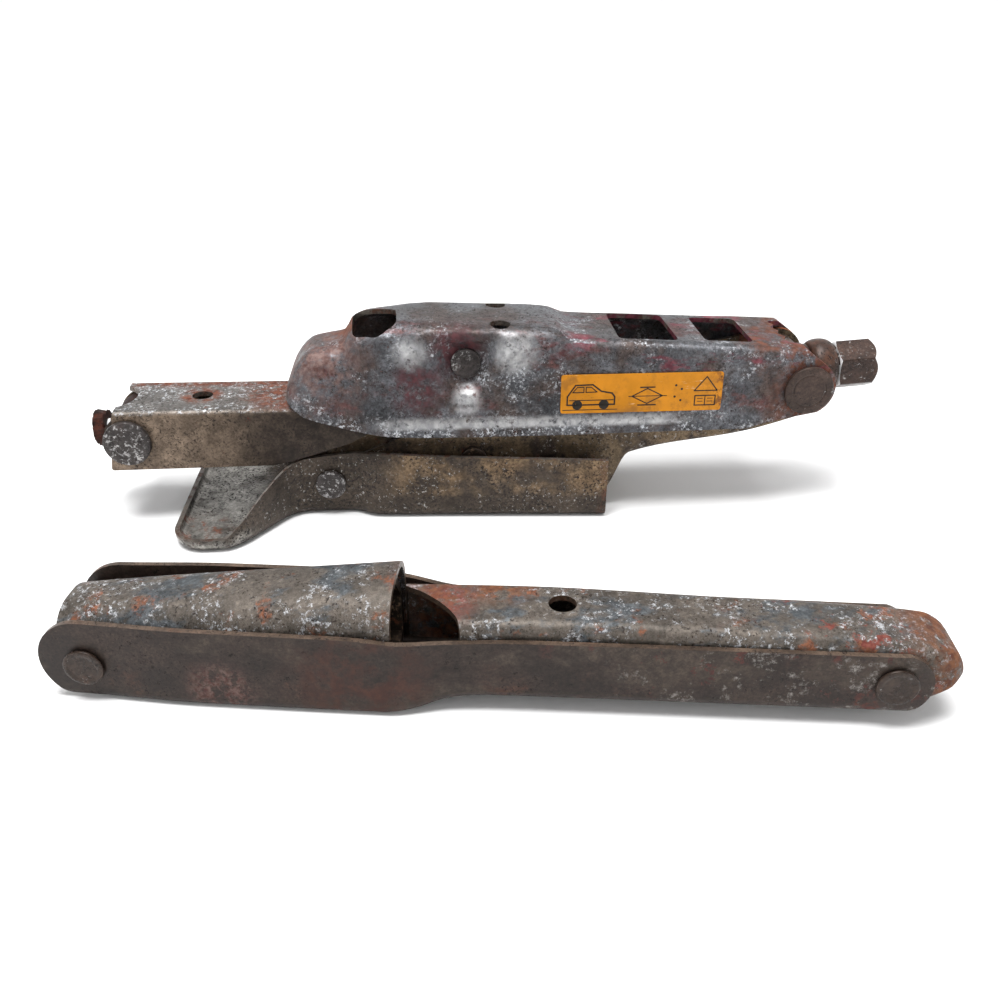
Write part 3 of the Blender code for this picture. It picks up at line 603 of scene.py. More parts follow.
def handle_wall_finish(colours):
    """Brown crank arm with dark red patches, a rosy stain right of the near pin and pale corrosion to the right."""
    f = rust_finish("handle_wall", colours.handle, "2f241e", "43271b", 0.07, HANDLE_YAW, 0.0, 0.55, 40.0)
    grey = f.clouds(0.5, 0.62, 26, 0.65, detail=5, stretch=(2.4, 1, 1), seed=73)
    f.coat(grey, "332c27", "453b34", 0.48, 0.4, size=3, seed=66)
    f.mottle(1.0, 0.3, 75)
    pale = f.both(f.along("X", 70, 110), f.clouds(0.53, 0.62, 10, seed=61),
                  f.clouds(0.44, 0.56, 1.7, 0.78, detail=5, seed=62))
    f.coat(pale, "635d59", "8d8883", 0.7, 0.1, 0.35, size=2, seed=63)
    f.coat(f.both(f.along("X", 40, 90), f.clouds(0.575, 0.63, 9, seed=71)), "38201c", "512d26", 0.7,
           0.0, 0.3, size=3, seed=64)
    warm = f.both(f.near(0, -158, 14, 8, 34), f.clouds(0.4, 0.6, 9, 0.65, detail=5, seed=72))
    f.coat(warm, "36201a", "45291f", 0.62, 0.15, 0.2, seed=65)
    rosy = f.both(f.near(-50, -152, 8, 6, 16), f.clouds(0.42, 0.56, 3, 0.75, seed=74))
    f.coat(rosy, "43241f", "65504a", 0.7, 0.1, 0.3, size=1.6, seed=67)
    return f.done(0.75)


def handle_edge_finish():
    """Rims of the handle's sheet, worn and lightened as a painted edge highlight."""
    return rust_finish("handle_edge", "43372e", "5a4c40", "5c3a29", 0.1, HANDLE_YAW, 0.0, 0.5, 50.0).done(0.6)


def handle_link_finish(colours):
    """Grey-tan tops of the two folded links with white, blue-grey, reddish and orange patches."""
    f = Finish("handle_links", HANDLE_YAW)
    f.ground(colours.links, 1.7, 0.48, 0.4, size=11, seed=7, stretch=(1.6, 1, 1))
    f.coat(f.clouds(0.5, 0.6, 14, 0.7, stretch=(1.8, 1, 1), seed=17), "3b3f42", "55595c", 0.5, 0.4, 0.1, size=3, seed=1)
    f.coat(f.clouds(0.545, 0.64, 12, seed=27), "5a3524", "7a4d37", 0.78, 0.0, 0.35, size=3, seed=2)
    f.mottle(1.3, 0.45, 76)
    f.mottle(4.5, 0.25, 77)
    bloom = f.both(f.clouds(0.52, 0.62, 1.8, 0.78, detail=5, seed=37), f.clouds(0.46, 0.57, 14, 0.7, detail=5, seed=38))
    f.coat(bloom, "9a9b9e", "c6c8cb", 0.65, 0.15, 0.35, seed=3)
    f.coat(scattered(f, 1.3, 0.53, 0.61, 47, 14, 0.4, 0.56), "1a1411", "2f2620", 0.75, 0.05, -0.35, seed=4)
    red = f.both(f.near(28, -148, 40, 6, 20), f.clouds(0.4, 0.54, 5, seed=57))
    red = f.either(red, f.both(f.along("X", 110, 160), f.clouds(0.55, 0.62, 9, seed=58)))
    f.coat(red, "59261f", "7c463c", 0.8, 0.0, 0.4, size=2.5, seed=5)
    orange = f.both(
        f.either(f.along("X", 172, 196), f.near(34, -140, 22, 8, 24), f.near(52, -142, 30, 6, 20)),
        f.clouds(0.38, 0.54, 6, seed=67),
    )
    f.coat(orange, "4e2c1e", "744a30", 0.85, 0.0, 0.4, size=2.5, seed=6)
    return f.done(0.75)


def edge_wear_and_highlight_finish():
    """Cut edges and rims of the plated sheet: worn metal, lightened also as a painted highlight along the edges, with
    rust nibbling in.
    """
    f = Finish("edge_wear_and_highlight")
    f.ground("5a544e", 1.7, 0.38, 0.65, size=6, seed=8)
    f.coat(f.clouds(0.48, 0.6, 5, seed=18), "3c2c25", "54392c", 0.7, 0.1, 0.3, seed=1)
    f.mottle(1.4, 0.35, 78)
    rust = f.both(f.along("X", 196, 210), f.clouds(0.34, 0.5, 4, seed=28))
    f.coat(rust, "66301c", "93552f", 0.88, 0.0, 0.5, size=2, seed=2)
    rim = f.both(f.along("X", 100, 130), f.along("Z", 74, 80), f.clouds(0.38, 0.52, 7, 0.6, detail=5, seed=38))
    f.coat(rim, "431620", "6d3540", 0.6, 0.1, 0.2, seed=3)
    return f.done(0.6)


def screw_finish():
    """Greasy dark thread with grit."""
    f = Finish("greasy_screw")
    f.ground("2b241f", 2.2, 0.34, 0.6, size=7, seed=9, stretch=(3, 1, 1))
    f.coat(scattered(f, 1.4, 0.52, 0.62, 29, 10, 0.4, 0.55), "5c4938", "7b6450", 0.7, 0.1, 0.4, seed=1)
    f.coat(f.clouds(0.58, 0.68, 6, 0.7, detail=5, seed=39), "5c3220", "774529", 0.8, 0.0, 0.3, seed=2)
    return f.done(0.5)


def label_finish(colours):
    """Yellow-orange foil label, faded and scuffed."""
    f = Finish("label_foil")
    f.ground(colours.label, 1.25, 0.38, 0.0, size=16, seed=10)
    f.coat(f.clouds(0.5, 0.68, 10, 0.65, detail=5, seed=20), "a96c10", "94601a", 0.5, 0.0, size=4, seed=1)
    f.coat(scattered(f, 1.2, 0.6, 0.68, 30, 10, 0.45, 0.6), "5a3d14", "7d5a24", 0.6, 0.0, -0.1, seed=2)
    scratches = f.clouds(0.62, 0.7, 2.5, 0.7, detail=5, stretch=(7, 1, 1), seed=50)
    scuffs = f.both(scratches, f.clouds(0.5, 0.6, 12, 0.6, detail=4, seed=60))
    f.coat(scuffs, "efe4c4", "d8c9a0", 0.5, 0.0, seed=3)
    corner = f.both(f.along("X", 172, 181), f.clouds(0.5, 0.6, 3, 0.7, detail=5, seed=70))
    f.coat(corner, "7c4a20", "5f3818", 0.7, seed=4)
    return f.done(0.25)


def print_finish():
    """Black print, worn thin in places."""
    f = Finish("label_print")
    f.ground("1d1812", 1.5, 0.5, 0.0, size=5, seed=12)
    f.coat(f.clouds(0.6, 0.68, 2, 0.75, detail=5, seed=22), "8a5f1a", "6b4a18", 0.55, 0.0, seed=1)
    return f.done(0.15)


MADE = {}


def finishes(settings):
    """Every finish of the object, made once."""
    if not MADE:
        plain = rust_finish("rusty_caps", "2a2625", "443e3b", "452d26", 0.05, 0.0, 0.6, 0.5, 0.0)
        right_cap = rust_finish("brown_caps", "2f241f", "45362e", "4c2d20", 0.08, 0.0, 0.25, 0.48, 10.0)
        stop = rust_finish("rusty_stop", "1c0f0c", "2f1912", "451f12", 0.2, 0.0, 0.0, 0.85, 20.0)
        drive = rust_finish("brown_drive", "2c201b", "433229", "553526", 0.12, 0.0, 0.35, 0.45, 30.0)
        handle_pin = rust_finish("handle_pins", "2d231d", "43372e", "4a2f22", 0.06, HANDLE_YAW, 0.3, 0.45, 44.0)
        MADE.update({
            "shell": zinc_shell_finish(settings),
            "short_arm": zinc_arm_finish(settings),
            "lower_arms": drab_arm_finish(settings),
            "foot": foot_finish(settings),
            "edges": edge_wear_and_highlight_finish(),
            "left_cap": plain.done(0.5),
            "right_cap": right_cap.done(0.4),
            "stop": stop.done(0.8),
            "drive": drive.done(0.45),
            "screw": screw_finish(),
            "handle_wall": handle_wall_finish(settings),
            "handle_edge": handle_edge_finish(),
            "handle_link": handle_link_finish(settings),
            "handle_pin": handle_pin.done(0.45),
            "label": label_finish(settings),
            "print": print_finish(),
        })
    return MADE


# Pieces -----------------------------------------------------------------------------------------------------

def foot_half_width():
    return flowing((-55, 50.4), (-46, 50.2), (-39, 46.5), (-28.5, 33.5), (-17, 19.8), (-11, WAIST_HALF),
                   (9, WAIST_HALF), (21, 23.2), (56, 25.3), (129.5, 30.0))


def build_foot(sizes, looks):
    half = foot_half_width()
    near = [(-70.0, 0.0)] + arc((-55.0, -35.4), 15.0, 180, 270, 12)[:-1]
    near += [(x, -half(x)) for x in stations(-55.0, 129.5, 2.6)]
    ring = near + [(x, -y) for x, y in reversed(near[1:])]
    bm = bmesh.new()
    sole = bm.faces.new([bm.verts.new((x, y, 0.0)) for x, y in ring])
    sides = [edge for edge in sole.edges if not all(vert.co.x > 129.4 for vert in edge.verts)]
    raised = bmesh.ops.extrude_edge_only(bm, edges=sides)["geom"]
    tops = [item for item in raised if isinstance(item, bmesh.types.BMVert)]
    bmesh.ops.translate(bm, vec=(0, 0, 34.0), verts=tops)
    bmesh.ops.recalc_face_normals(bm, faces=bm.faces)
    if sole.normal.z > 0:
        bmesh.ops.reverse_faces(bm, faces=bm.faces)
    bmesh.ops.bevel(
        bm, geom=sides, offset=5.0, segments=7, profile=0.5, affect="EDGES", offset_type="OFFSET", material=-1
    )
    foot = sheet_metal(new_object("foot", bm, (looks["foot"], looks["edges"])), sizes.sheet / MM)
    rim = flowing((-80, 6.0), (-46, 6.5), (-38.5, 12.0), (-29, 20.4), (-20, 26.4), (-11, 29.6), (9, 31.8), (22, 33.6),
                  (56, 32.0), (94, 31.0), (134.5, 30.0))
    line = [(x, rim(x)) for x in stations(-80.0, 134.5, 3.0)]
    cut(foot, prism(line + [(134.5, 60), (-80, 60)], 70.0, FRONT), hole(FOOT, PIN_R + GAP))
    place_piece(foot, "foot", "base_foot")


def long_arm_half():
    return flowing((0.0, FOOT_END_HALF), (RIGHT.x, FOOT_END_HALF + 8.1))


def build_lower_arms(sizes, looks):
    sheet = sizes.sheet / MM
    metals = (looks["lower_arms"], looks["edges"])
    half = long_arm_half()
    web = flowing((-15, 4.6), (124, 4.6), (131, 9), (141, 28.2), (193, 38.2), (240, 50))
    xs = stations(-15, 112, 6) + stations(114, 150, 1.5) + stations(154, 240, 5)
    arm = pressed_channel(
        "long_lower_arm", xs, lambda x: channel_section(half(x), half(x), web(x), 84.0, 3.0), metals, sheet
    )
    outline = arc(RIGHT, EAR_R, -75, 100, 28)
    outline += eased([(150, 63), (104, 50), (60, 41), (34, 39), (14, 29.5)], 8)
    outline += arc(FOOT, 11.6, 80, 270, 24) + [(126, 4.0), (130, 6.2), (134, 13.0), (141, 27.9), (193, 38.0)]
    trim(
        arm, outline, 40.0,
        box((-20, 4), (-12.6, 12.6), (-2, 12)),
        box((201, 245), (-20.2, 20.2), (20, 90)),
        hole(FOOT, PIN_R + GAP),
        hole(LOWER, PIN_R + GAP),
        hole(RIGHT, JOURNAL_R + GAP),
    )
    place_piece(arm, "long_lower", "lower_long_arm")

    half = flowing((-28, INNER_ARM_HALF), (-6, SHORT_ARM_END_HALF))
    web = flowing((-110, 28.4), (-28, 28.4), (-5, 24.4), (22, 21.6), (80, 16))
    short = pressed_channel(
        "short_lower_arm", stations(-110, 85, 4), lambda x: channel_section(half(x), half(x), web(x), 70.0, 3.0),
        metals, sheet,
    )
    outline = arc(LEFT, 11.4, 90, 258, 24) + [(-28, 28.0), (-5, 24.0), (22, 21.2), (57, 18.8)]
    outline += arc(LOWER, 10.4, -75, 85, 20) + [(-6, 44)]
    trim(
        short, outline, 30.0,
        box((-112, -75), (-14.2, 14.2), (20, 70)),
        box((46, 90), (-10.1, 10.1), (10, 60)),
        hole(LEFT, JOURNAL_R + GAP),
        hole(LOWER, PIN_R + GAP),
    )
    place_piece(short, "short_lower", "lower_short_arm")


def build_upper_short_arm(sizes, looks):
    half = flowing((-11, SHORT_ARM_HALF), (44, 15.5))
    web = flowing((-110, 55.9), (-93, 55.8), (-9, 55.2), (6, 59.7), (38, 75), (52, 99), (90, 99))
    arm = pressed_channel(
        "short_upper_arm", stations(-110, 85, 3.2), lambda x: channel_section(half(x), half(x), web(x), 10.0, 3.0),
        (looks["short_arm"], looks["edges"]), sizes.sheet / MM,
    )
    cut(arm, upright_drill(-57.5, 0.0, (48, 64), DRILL_R))
    outline = eased([(-92.6, 62), (-98.8, 27.2), (-24, 27.5), (-11, 31.0), (10, 36.8), (30, 47), (56, 66.8)], 1.5)
    outline += arc(UPPER, 10.0, -60, 115, 20) + [(38, 77), (6, 62)]
    trim(
        arm, outline, 30.0,
        prism(arc((-101.5, 0), 14.5, 4, 364, 48)[:-1], 10.0, GROUND, centre=58.0),
        hole(LEFT, JOURNAL_R + GAP),
        hole(UPPER, PIN_R + GAP),
    )
    place_piece(arm, "short_upper", "upper_short_arm")


SHELL_STATIONS = (
    # x, half at web, half at rim, web height, rim height, corner radius
    (-17.5, 9.0, 12.0, 60.5, 57.3, 1.2),
    (-15.5, 14.5, 19.0, 67.0, 57.2, 4.5),
    (-13.2, 16.4, 21.5, 71.5, 56.0, 6.5),
    (-9.0, 17.2, 22.6, 77.0, 52.6, 8.2),
    (-5.0, 17.5, 23.2, 80.0, 51.2, 9.0),
    (3.0, 18.0, 23.8, 82.0, 49.0, 10.5),
    (9.5, 18.5, 24.2, 83.5, 47.3, 12.0),
    (14.0, 19.5, 24.5, 90.0, 46.3, 13.0),
    (22.0, 20.5, 24.7, 92.6, 44.7, 13.0),
    (31.0, 21.5, 24.8, 93.2, 43.3, 12.5),
    (40.0, 22.5, 24.9, 93.55, 42.8, 11.0),
    (48.0, 23.0, 24.9, 93.2, 42.3, 9.5),
    (64.0, 23.4, 24.9, 92.4, 42.1, 9.0),
    (80.0, 23.6, 24.9, 91.7, 42.1, 9.0),
    (92.0, 23.7, 25.0, 91.3, 42.1, 9.0),
    (104.0, 23.8, 25.0, 90.0, 42.1, 8.5),
    (113.0, 23.9, 25.1, 86.6, 42.2, 7.0),
    (146.0, 24.0, 25.2, 84.6, 42.6, 6.0),
    (184.0, 24.8, 25.5, 82.3, 43.1, 5.5),
    (200.0, 25.4, SHELL_EAR_HALF, 81.4, 43.5, 5.0),
    (236.0, 25.4, SHELL_EAR_HALF, 79.4, 46.0, 5.0),
)
# The flat pressed in round the upper pin: each side's outward direction and its distance from the pin
PINCH_SIDES = (
    (Vector((0.0, 1.0)), 13.5),
    (Vector((-0.949, -0.316)), 12.8),
    (Vector((0.949, -0.316)), 12.8),
    (Vector((0.0, -1.0)), 14.5),
)
PINCH_SLOPE = 6.0
PINCH_CORNER = 0.35  # the larger, the sharper the corners of the flat
RIDGE = (1.3, 3.5, 3.2)  # height of the ridge round the flat, its distance and its width
SKIRT_FLARE = 1.5


def pinch_depth(x, z):
    """How far outside the rounded outline of the pin's flat a point is."""
    away = Vector((x, z)) - UPPER
    spread = sum(math.exp(PINCH_CORNER * (away.dot(side) - reach)) for side, reach in PINCH_SIDES)
    return math.log(spread) / PINCH_CORNER


def share_of(value, low, high):
    """How far value is from low to high, from 0 to 1 with soft ends."""
    t = min(1.0, max(0.0, (value - low) / (high - low)))
    return t * t * (3 - 2 * t)


def pressed_shell(x, y, z):
    """Moves the shell's side walls in round the upper pin, with a ridge outside it and a flared skirt."""
    side = math.copysign(1.0, y)
    wall = abs(y)
    if wall > SHELL_PINCH_HALF:
        depth = pinch_depth(x, z)
        wall = SHELL_PINCH_HALF + (wall - SHELL_PINCH_HALF) * share_of(depth, -PINCH_SLOPE, 0.5)
        height, distance, width = RIDGE
        wall += height * math.exp(-(((depth - distance) / width) ** 2))
    skirt = share_of(49.0 - z, 0.0, 5.0) * share_of(x, -6.0, 25.0) * share_of(214.0 - x, 0.0, 20.0)
    wall += SKIRT_FLARE * skirt
    return (x, side * wall if wall > 0.01 else y, z)


def build_shell(sizes, looks):
    columns = list(zip(*SHELL_STATIONS))
    curves = [flowing(*zip(columns[0], column)) for column in columns[1:]]
    xs = stations(-17.5, 110, 1.7) + stations(112, 236, 3.0)
    shell = pressed_channel(
        "lifting_shell", xs, lambda x: channel_section(*(curve(x) for curve in curves), 16, 9, 5),
        (looks["shell"], looks["edges"]), sizes.sheet / MM, pressed_shell,
    )
    rim = flowing((-19, 56.8), (-13.6, 56.4), (-12.4, 54.0), (-6.4, 51.8), (0.3, 49.6), (9, 47.4), (17, 45.6),
                  (29, 43.6), (48, 42.7), (70, 42.4), (104, 42.4), (144, 42.8), (192, 43.4), (200, 45.0))
    outline = [(x, rim(x)) for x in stations(-19.0, 200.0, 2.0)] + arc(RIGHT, EAR_R, -62, 55, 24)
    outline += [(213, 84), (210, 100), (-19, 100)]
    trim(shell, outline, 40.0)
    windows = [
        [(13.4, 10.5), (33.6, 4.5), (34.2, -14.0), (26.0, -18.5), (14.6, -15.5)],
        [(133.0, 18.0), (159.5, 18.0), (160.5, -18.0), (133.0, -18.0)],
        [(173.0, 16.5), (195.5, 16.5), (195.5, -16.5), (173.0, -16.5)],
    ]
    for corners in windows:
        cut(shell, prism(eased(corners, 3.2, closed=True, steps=5), 14.0, GROUND, centre=90.0))
    torn = [(213.0, -15.5), (211.6, -11.0), (213.6, -7.0), (211.0, -3.0), (213.2, 1.5), (210.6, 6.0), (213.6, 10.0),
            (212.2, 13.0), (213.0, 15.5), (240.0, 15.5), (240.0, -15.5)]
    cut(shell, prism(torn, 17.0, GROUND, centre=83.0))
    for side in (-1, 1):
        cut(shell, upright_drill(79.8, side * 14.0, (86.5, 100), DRILL_R))
    cut(shell, hole(UPPER, PIN_R + GAP), hole(RIGHT, JOURNAL_R + GAP))
    place_piece(shell, "shell", "upper_long_arm", sharp=48.0)


def headed_pin(name, centre, half_grip, head_r, head_t, finish, core_r=PIN_R, shoulder=None):
    """A rivet with flat, slightly dished heads."""
    half = [(core_r, 0.0)]
    if shoulder:
        inner, outer, radius = shoulder
        half += [(core_r, inner), (radius, inner), (radius, outer), (core_r, outer)]
    top = half_grip + head_t
    head = [(core_r, half_grip), (head_r, half_grip), (head_r, top - 0.1), (head_r - 1.4, top)]
    half += eased(head + [(head_r - 2.4, top - 0.25), (0.0, top - 0.3)], 0.5)
    profile = [(r, -s) for r, s in reversed(half[1:])] + half[1:]
    return turned(name, profile, across(centre), (finish,))


def build_pins(sizes, looks):
    seat = long_arm_half()(LOWER.x)
    pin = headed_pin("foot_rivet", FOOT, WAIST_HALF + GAP, 7.0, 2.2, looks["left_cap"])
    place_piece(pin, "foot", "foot_hinge_rivet")
    shoulder = (SHORT_ARM_END_HALF + GAP, seat - sizes.sheet / MM - GAP, 7.5)
    pin = headed_pin("lower_pin", LOWER, seat + GAP, 6.0, 2.3, looks["screw"], shoulder=shoulder)
    place_piece(pin, "long_lower", "lower_center_pin")
    pin = headed_pin("upper_pin", UPPER, SHELL_PINCH_HALF + GAP, 6.8, 1.9, looks["left_cap"])
    place_piece(pin, "shell", "upper_center_pin")
    for word, centre, half_grip in (("socket", SOCKET_PIN, 20.4), ("grip", GRIP_PIN, 16.0)):
        pin = headed_pin(f"{word}_pin", centre, half_grip, 7.2, 1.3, looks["handle_pin"], HANDLE_PIN_R)
        place_piece(pin, "crank", f"{word}_link_pin", HANDLE_FRAME)


def bored(name, profile, place, finish):
    """A turned piece that the screw runs through."""
    part = turned(name, profile, place, (finish,))
    cut(part, rod(SCREW_R + BORE_PLAY, -30, PIN_SPAN + CUTTER_REACH, along_screw(0.0)))
    return part


def cap(name, centre, inner, outer, radius, side, finish):
    """A round cap with a peened journal showing as a shallow ring."""
    profile = [(0.0, inner), (radius, inner), (radius, outer - 0.15)]
    profile += [(radius - 1.2, outer), (radius - 3.2, outer), (radius - 3.7, outer - 0.3), (radius - 4.3, outer - 0.05)]
    profile = eased(profile + [(0.0, outer - 0.05)], 0.45)
    face = Matrix.Rotation(math.pi if side < 0 else 0.0, 4, "X")
    return turned(name, profile, across(centre) @ face, (finish,), 64)


def build_trunnions(sizes, looks):

    def barrel(half_barrel, half_journal):
        half = eased([(BARREL_R, 0.0), (BARREL_R, half_barrel), (JOURNAL_R, half_barrel), (JOURNAL_R, half_journal),
                      (0.0, half_journal)], 0.6)
        return [(r, -s) for r, s in reversed(half[1:])] + half[1:]

    nut = bored("nut_barrel", barrel(13.8, SHORT_ARM_HALF + GAP), across(LEFT), looks["stop"])
    place_piece(nut, "left_nut", "trunnion_nut")
    block = bored("thrust_block", barrel(20.2, SHELL_EAR_HALF + GAP), across(RIGHT), looks["drive"])
    seat = box((0.0, 20.0), (-40, 40), (-30, 30))
    seat.matrix_world = (
        Matrix.Translation((RIGHT.x, 0, RIGHT.y))
        @ Matrix.Rotation(-SCREW_TILT, 4, "Y")
        @ Matrix.Translation((THRUST_SEAT, 0, 0))
    )
    cut(block, seat)
    place_piece(block, "right_block", "thrust_trunnion")
    for side, word in ((-1, "near"), (1, "far")):
        part = cap(f"left_cap_{word}", LEFT, SHORT_ARM_HALF + 2 * GAP, 22.2, 10.5, side, looks["left_cap"])
        place_piece(part, "left_nut", f"trunnion_nut_cap_{word}")
        part = cap(f"right_cap_{word}", RIGHT, SHELL_EAR_HALF + 2 * GAP, 28.3, 11.3, side, looks["right_cap"])
        place_piece(part, "right_block", f"thrust_trunnion_cap_{word}")
    inner = THRUST_SEAT + GAP
    washer = eased([(6.4, inner), (11.5, inner), (11.5, WASHER_END), (6.4, WASHER_END)], 0.4)
    washer.append((6.4, inner))
    part = turned("thrust_ring", washer, along_screw(PIN_SPAN), (looks["drive"],))
    place_piece(part, "right_block", "thrust_washer")


THREAD_STEPS = 28  # facets per turn


def threaded_rod(pitch, start, stop):
    """The screw's trapezoidal thread from start to stop, closed at both ends."""
    steps = THREAD_STEPS
    turns = math.ceil((stop - start) / pitch) + 2
    tooth = [(THREAD_ROOT_R, 0.0), (SCREW_R, 0.22), (SCREW_R, 0.5), (THREAD_ROOT_R, 0.72), (THREAD_ROOT_R, 1.0)]
    bm = bmesh.new()
    ring = [bm.verts.new((radius, 0.0, start - pitch + share * pitch)) for radius, share in tooth]
    edges = [bm.edges.new(pair) for pair in zip(ring, ring[1:])]
    bmesh.ops.spin(
        bm, geom=ring + edges, cent=(0, 0, 0), axis=(0, 0, 1), dvec=(0, 0, pitch / steps),
        angle=-2 * math.pi * turns, steps=steps * turns, use_merge=False,
    )
    bmesh.ops.remove_doubles(bm, verts=bm.verts, dist=0.002)
    for at, way in ((start, -1), (stop, 1)):
        everything = bm.verts[:] + bm.edges[:] + bm.faces[:]
        bmesh.ops.bisect_plane(bm, geom=everything, plane_co=(0, 0, at), plane_no=(0, 0, way), clear_outer=True)
        rim = [edge for edge in bm.edges if edge.is_boundary and all(abs(v.co.z - at) < 0.01 for v in edge.verts)]
        bmesh.ops.holes_fill(bm, edges=rim)
    bmesh.ops.recalc_face_normals(bm, faces=bm.faces)
    return bm


def build_screw(sizes, looks):
    bm = threaded_rod(sizes.thread_pitch / MM, STOP_END + 1.5, PIN_SPAN - 16.0)
    bm.transform(along_screw(0.0))
    screw = new_object("screw", bm, (looks["screw"],))
    end = PIN_SPAN
    tail = eased([(0, STOP_START - 0.6), (4.0, STOP_START - 0.6), (4.0, STOP_END + 1.2), (5.2, STOP_END + 1.9)], 0.4)
    tail += [(5.2, STOP_END + 4.0), (0, STOP_END + 4.0)]
    neck = [(0, end - 17.5), (5.2, end - 17.5), (SCREW_R - 0.05, end - 15.5), (SCREW_R - 0.05, end + WASHER_END + GAP)]
    neck += [(5.0, end + WASHER_END + GAP), (5.0, end + COLLAR_END + 10), (0, end + COLLAR_END + 10)]
    combine(screw, turned("tail", tail, along_screw(0.0)), "UNION")
    combine(screw, turned("neck", neck, along_screw(0.0)), "UNION")
    place_piece(screw, "screw", "screw_spindle", sharp=30)

    stop = eased([(4.3, STOP_START), (9.0, STOP_START), (9.0, STOP_END - 0.4), (4.3, STOP_END - 0.4)], 0.8)
    stop.append((4.3, STOP_START))
    screw_line = along_screw(0.0)
    lump = turned("end_stop", stop, screw_line, (looks["stop"],))
    for vert in lump.data.vertices:
        local = screw_line.inverted() @ vert.co
        if math.hypot(local.x, local.y) > 6.0:
            worn = 1.0 - 0.35 * abs(noise.noise(vert.co * 0.35))
            vert.co = screw_line @ Vector((local.x * worn, local.y * worn, local.z))
    place_piece(lump, "screw", "screw_end_stop")

    low = WASHER_END + 2 * GAP
    collar = [(5.3, low), (COLLAR_R - 3, low), (COLLAR_R - 0.8, low + 1.4), (COLLAR_R, low + 4.0)]
    collar += [(COLLAR_R, COLLAR_END - 5.0), (COLLAR_R - 1.0, COLLAR_END - 2.0), (COLLAR_R - 3.2, COLLAR_END)]
    collar = eased(collar + [(5.3, COLLAR_END)], 1.6, steps=4) + [(5.3, low)]
    part = turned("collar", collar, along_screw(end), (looks["drive"],), 64)
    place_piece(part, "screw", "thrust_collar")

    bm = bmesh.new()
    length = HEX_END - COLLAR_END - GAP
    corner_r = HEX_ACROSS_FLATS / math.sqrt(3)
    bmesh.ops.create_cone(bm, cap_ends=True, segments=6, radius1=corner_r, radius2=corner_r, depth=length)
    bm.transform(Matrix.Translation((0, 0, COLLAR_END + GAP + length / 2)) @ Matrix.Rotation(math.pi / 6, 4, "Z"))
    bmesh.ops.bevel(
        bm, geom=[edge for edge in bm.edges if abs(edge.verts[0].co.z - edge.verts[1].co.z) > 1], offset=0.5,
        segments=3, profile=0.5, affect="EDGES", material=-1,
    )
    bm.transform(along_screw(end))
    hexagon = new_object("hexagon", bm, (looks["drive"],))
    half_flat = HEX_ACROSS_FLATS / 2
    shape = [(0, COLLAR_END + GAP), (half_flat + 0.3, COLLAR_END + GAP), (corner_r + 0.4, COLLAR_END + 1.2)]
    shape += [(corner_r + 0.4, HEX_END - 3.2), (half_flat - 0.6, HEX_END), (0, HEX_END)]
    combine(hexagon, turned("chamfer", eased(shape, 0.6), along_screw(end), segments=96), "INTERSECT")
    bore = [(0, 10), (5.3, 10), (5.3, COLLAR_END + 10.4), (0, COLLAR_END + 10.4)]
    cut(hexagon, turned("hex_bore", bore, along_screw(end)))
    place_piece(hexagon, "screw", "drive_hex", sharp=28)


# Label ------------------------------------------------------------------------------------------------------

LABEL_SIZE = (74.0, 0.4, 18.4)
LABEL_FRAME = (
    Matrix.Translation((143.6, -25.35, 61.9))
    @ Matrix.Rotation(math.radians(-0.15), 4, "Z")
    @ Matrix.Rotation(math.radians(-1.9), 4, "X")
)
PRINT_DEPTH = 0.05


def stroke(bm, points, width, closed=False):
    """Draws a line as thin bars lying on the label's face."""
    ends = list(zip(points, points[1:] + points[:1] if closed else points[1:]))
    for (x0, z0), (x1, z1) in ends:
        length = math.hypot(x1 - x0, z1 - z0) + width * 0.7
        place = (
            Matrix.Translation(((x0 + x1) / 2, -LABEL_SIZE[1] / 2 - PRINT_DEPTH / 2, (z0 + z1) / 2))
            @ Matrix.Rotation(-math.atan2(z1 - z0, x1 - x0), 4, "Y")
            @ Matrix.Diagonal((length, PRINT_DEPTH, width, 1.0))
        )
        bmesh.ops.create_cube(bm, size=1.0, matrix=place)


def disc(bm, x, z, radius):
    place = Matrix.Translation((x, -LABEL_SIZE[1] / 2 - PRINT_DEPTH / 2, z)) @ Matrix.Rotation(math.pi / 2, 4, "X")
    bmesh.ops.create_cone(
        bm, cap_ends=True, segments=24, radius1=radius, radius2=radius, depth=PRINT_DEPTH, matrix=place
    )


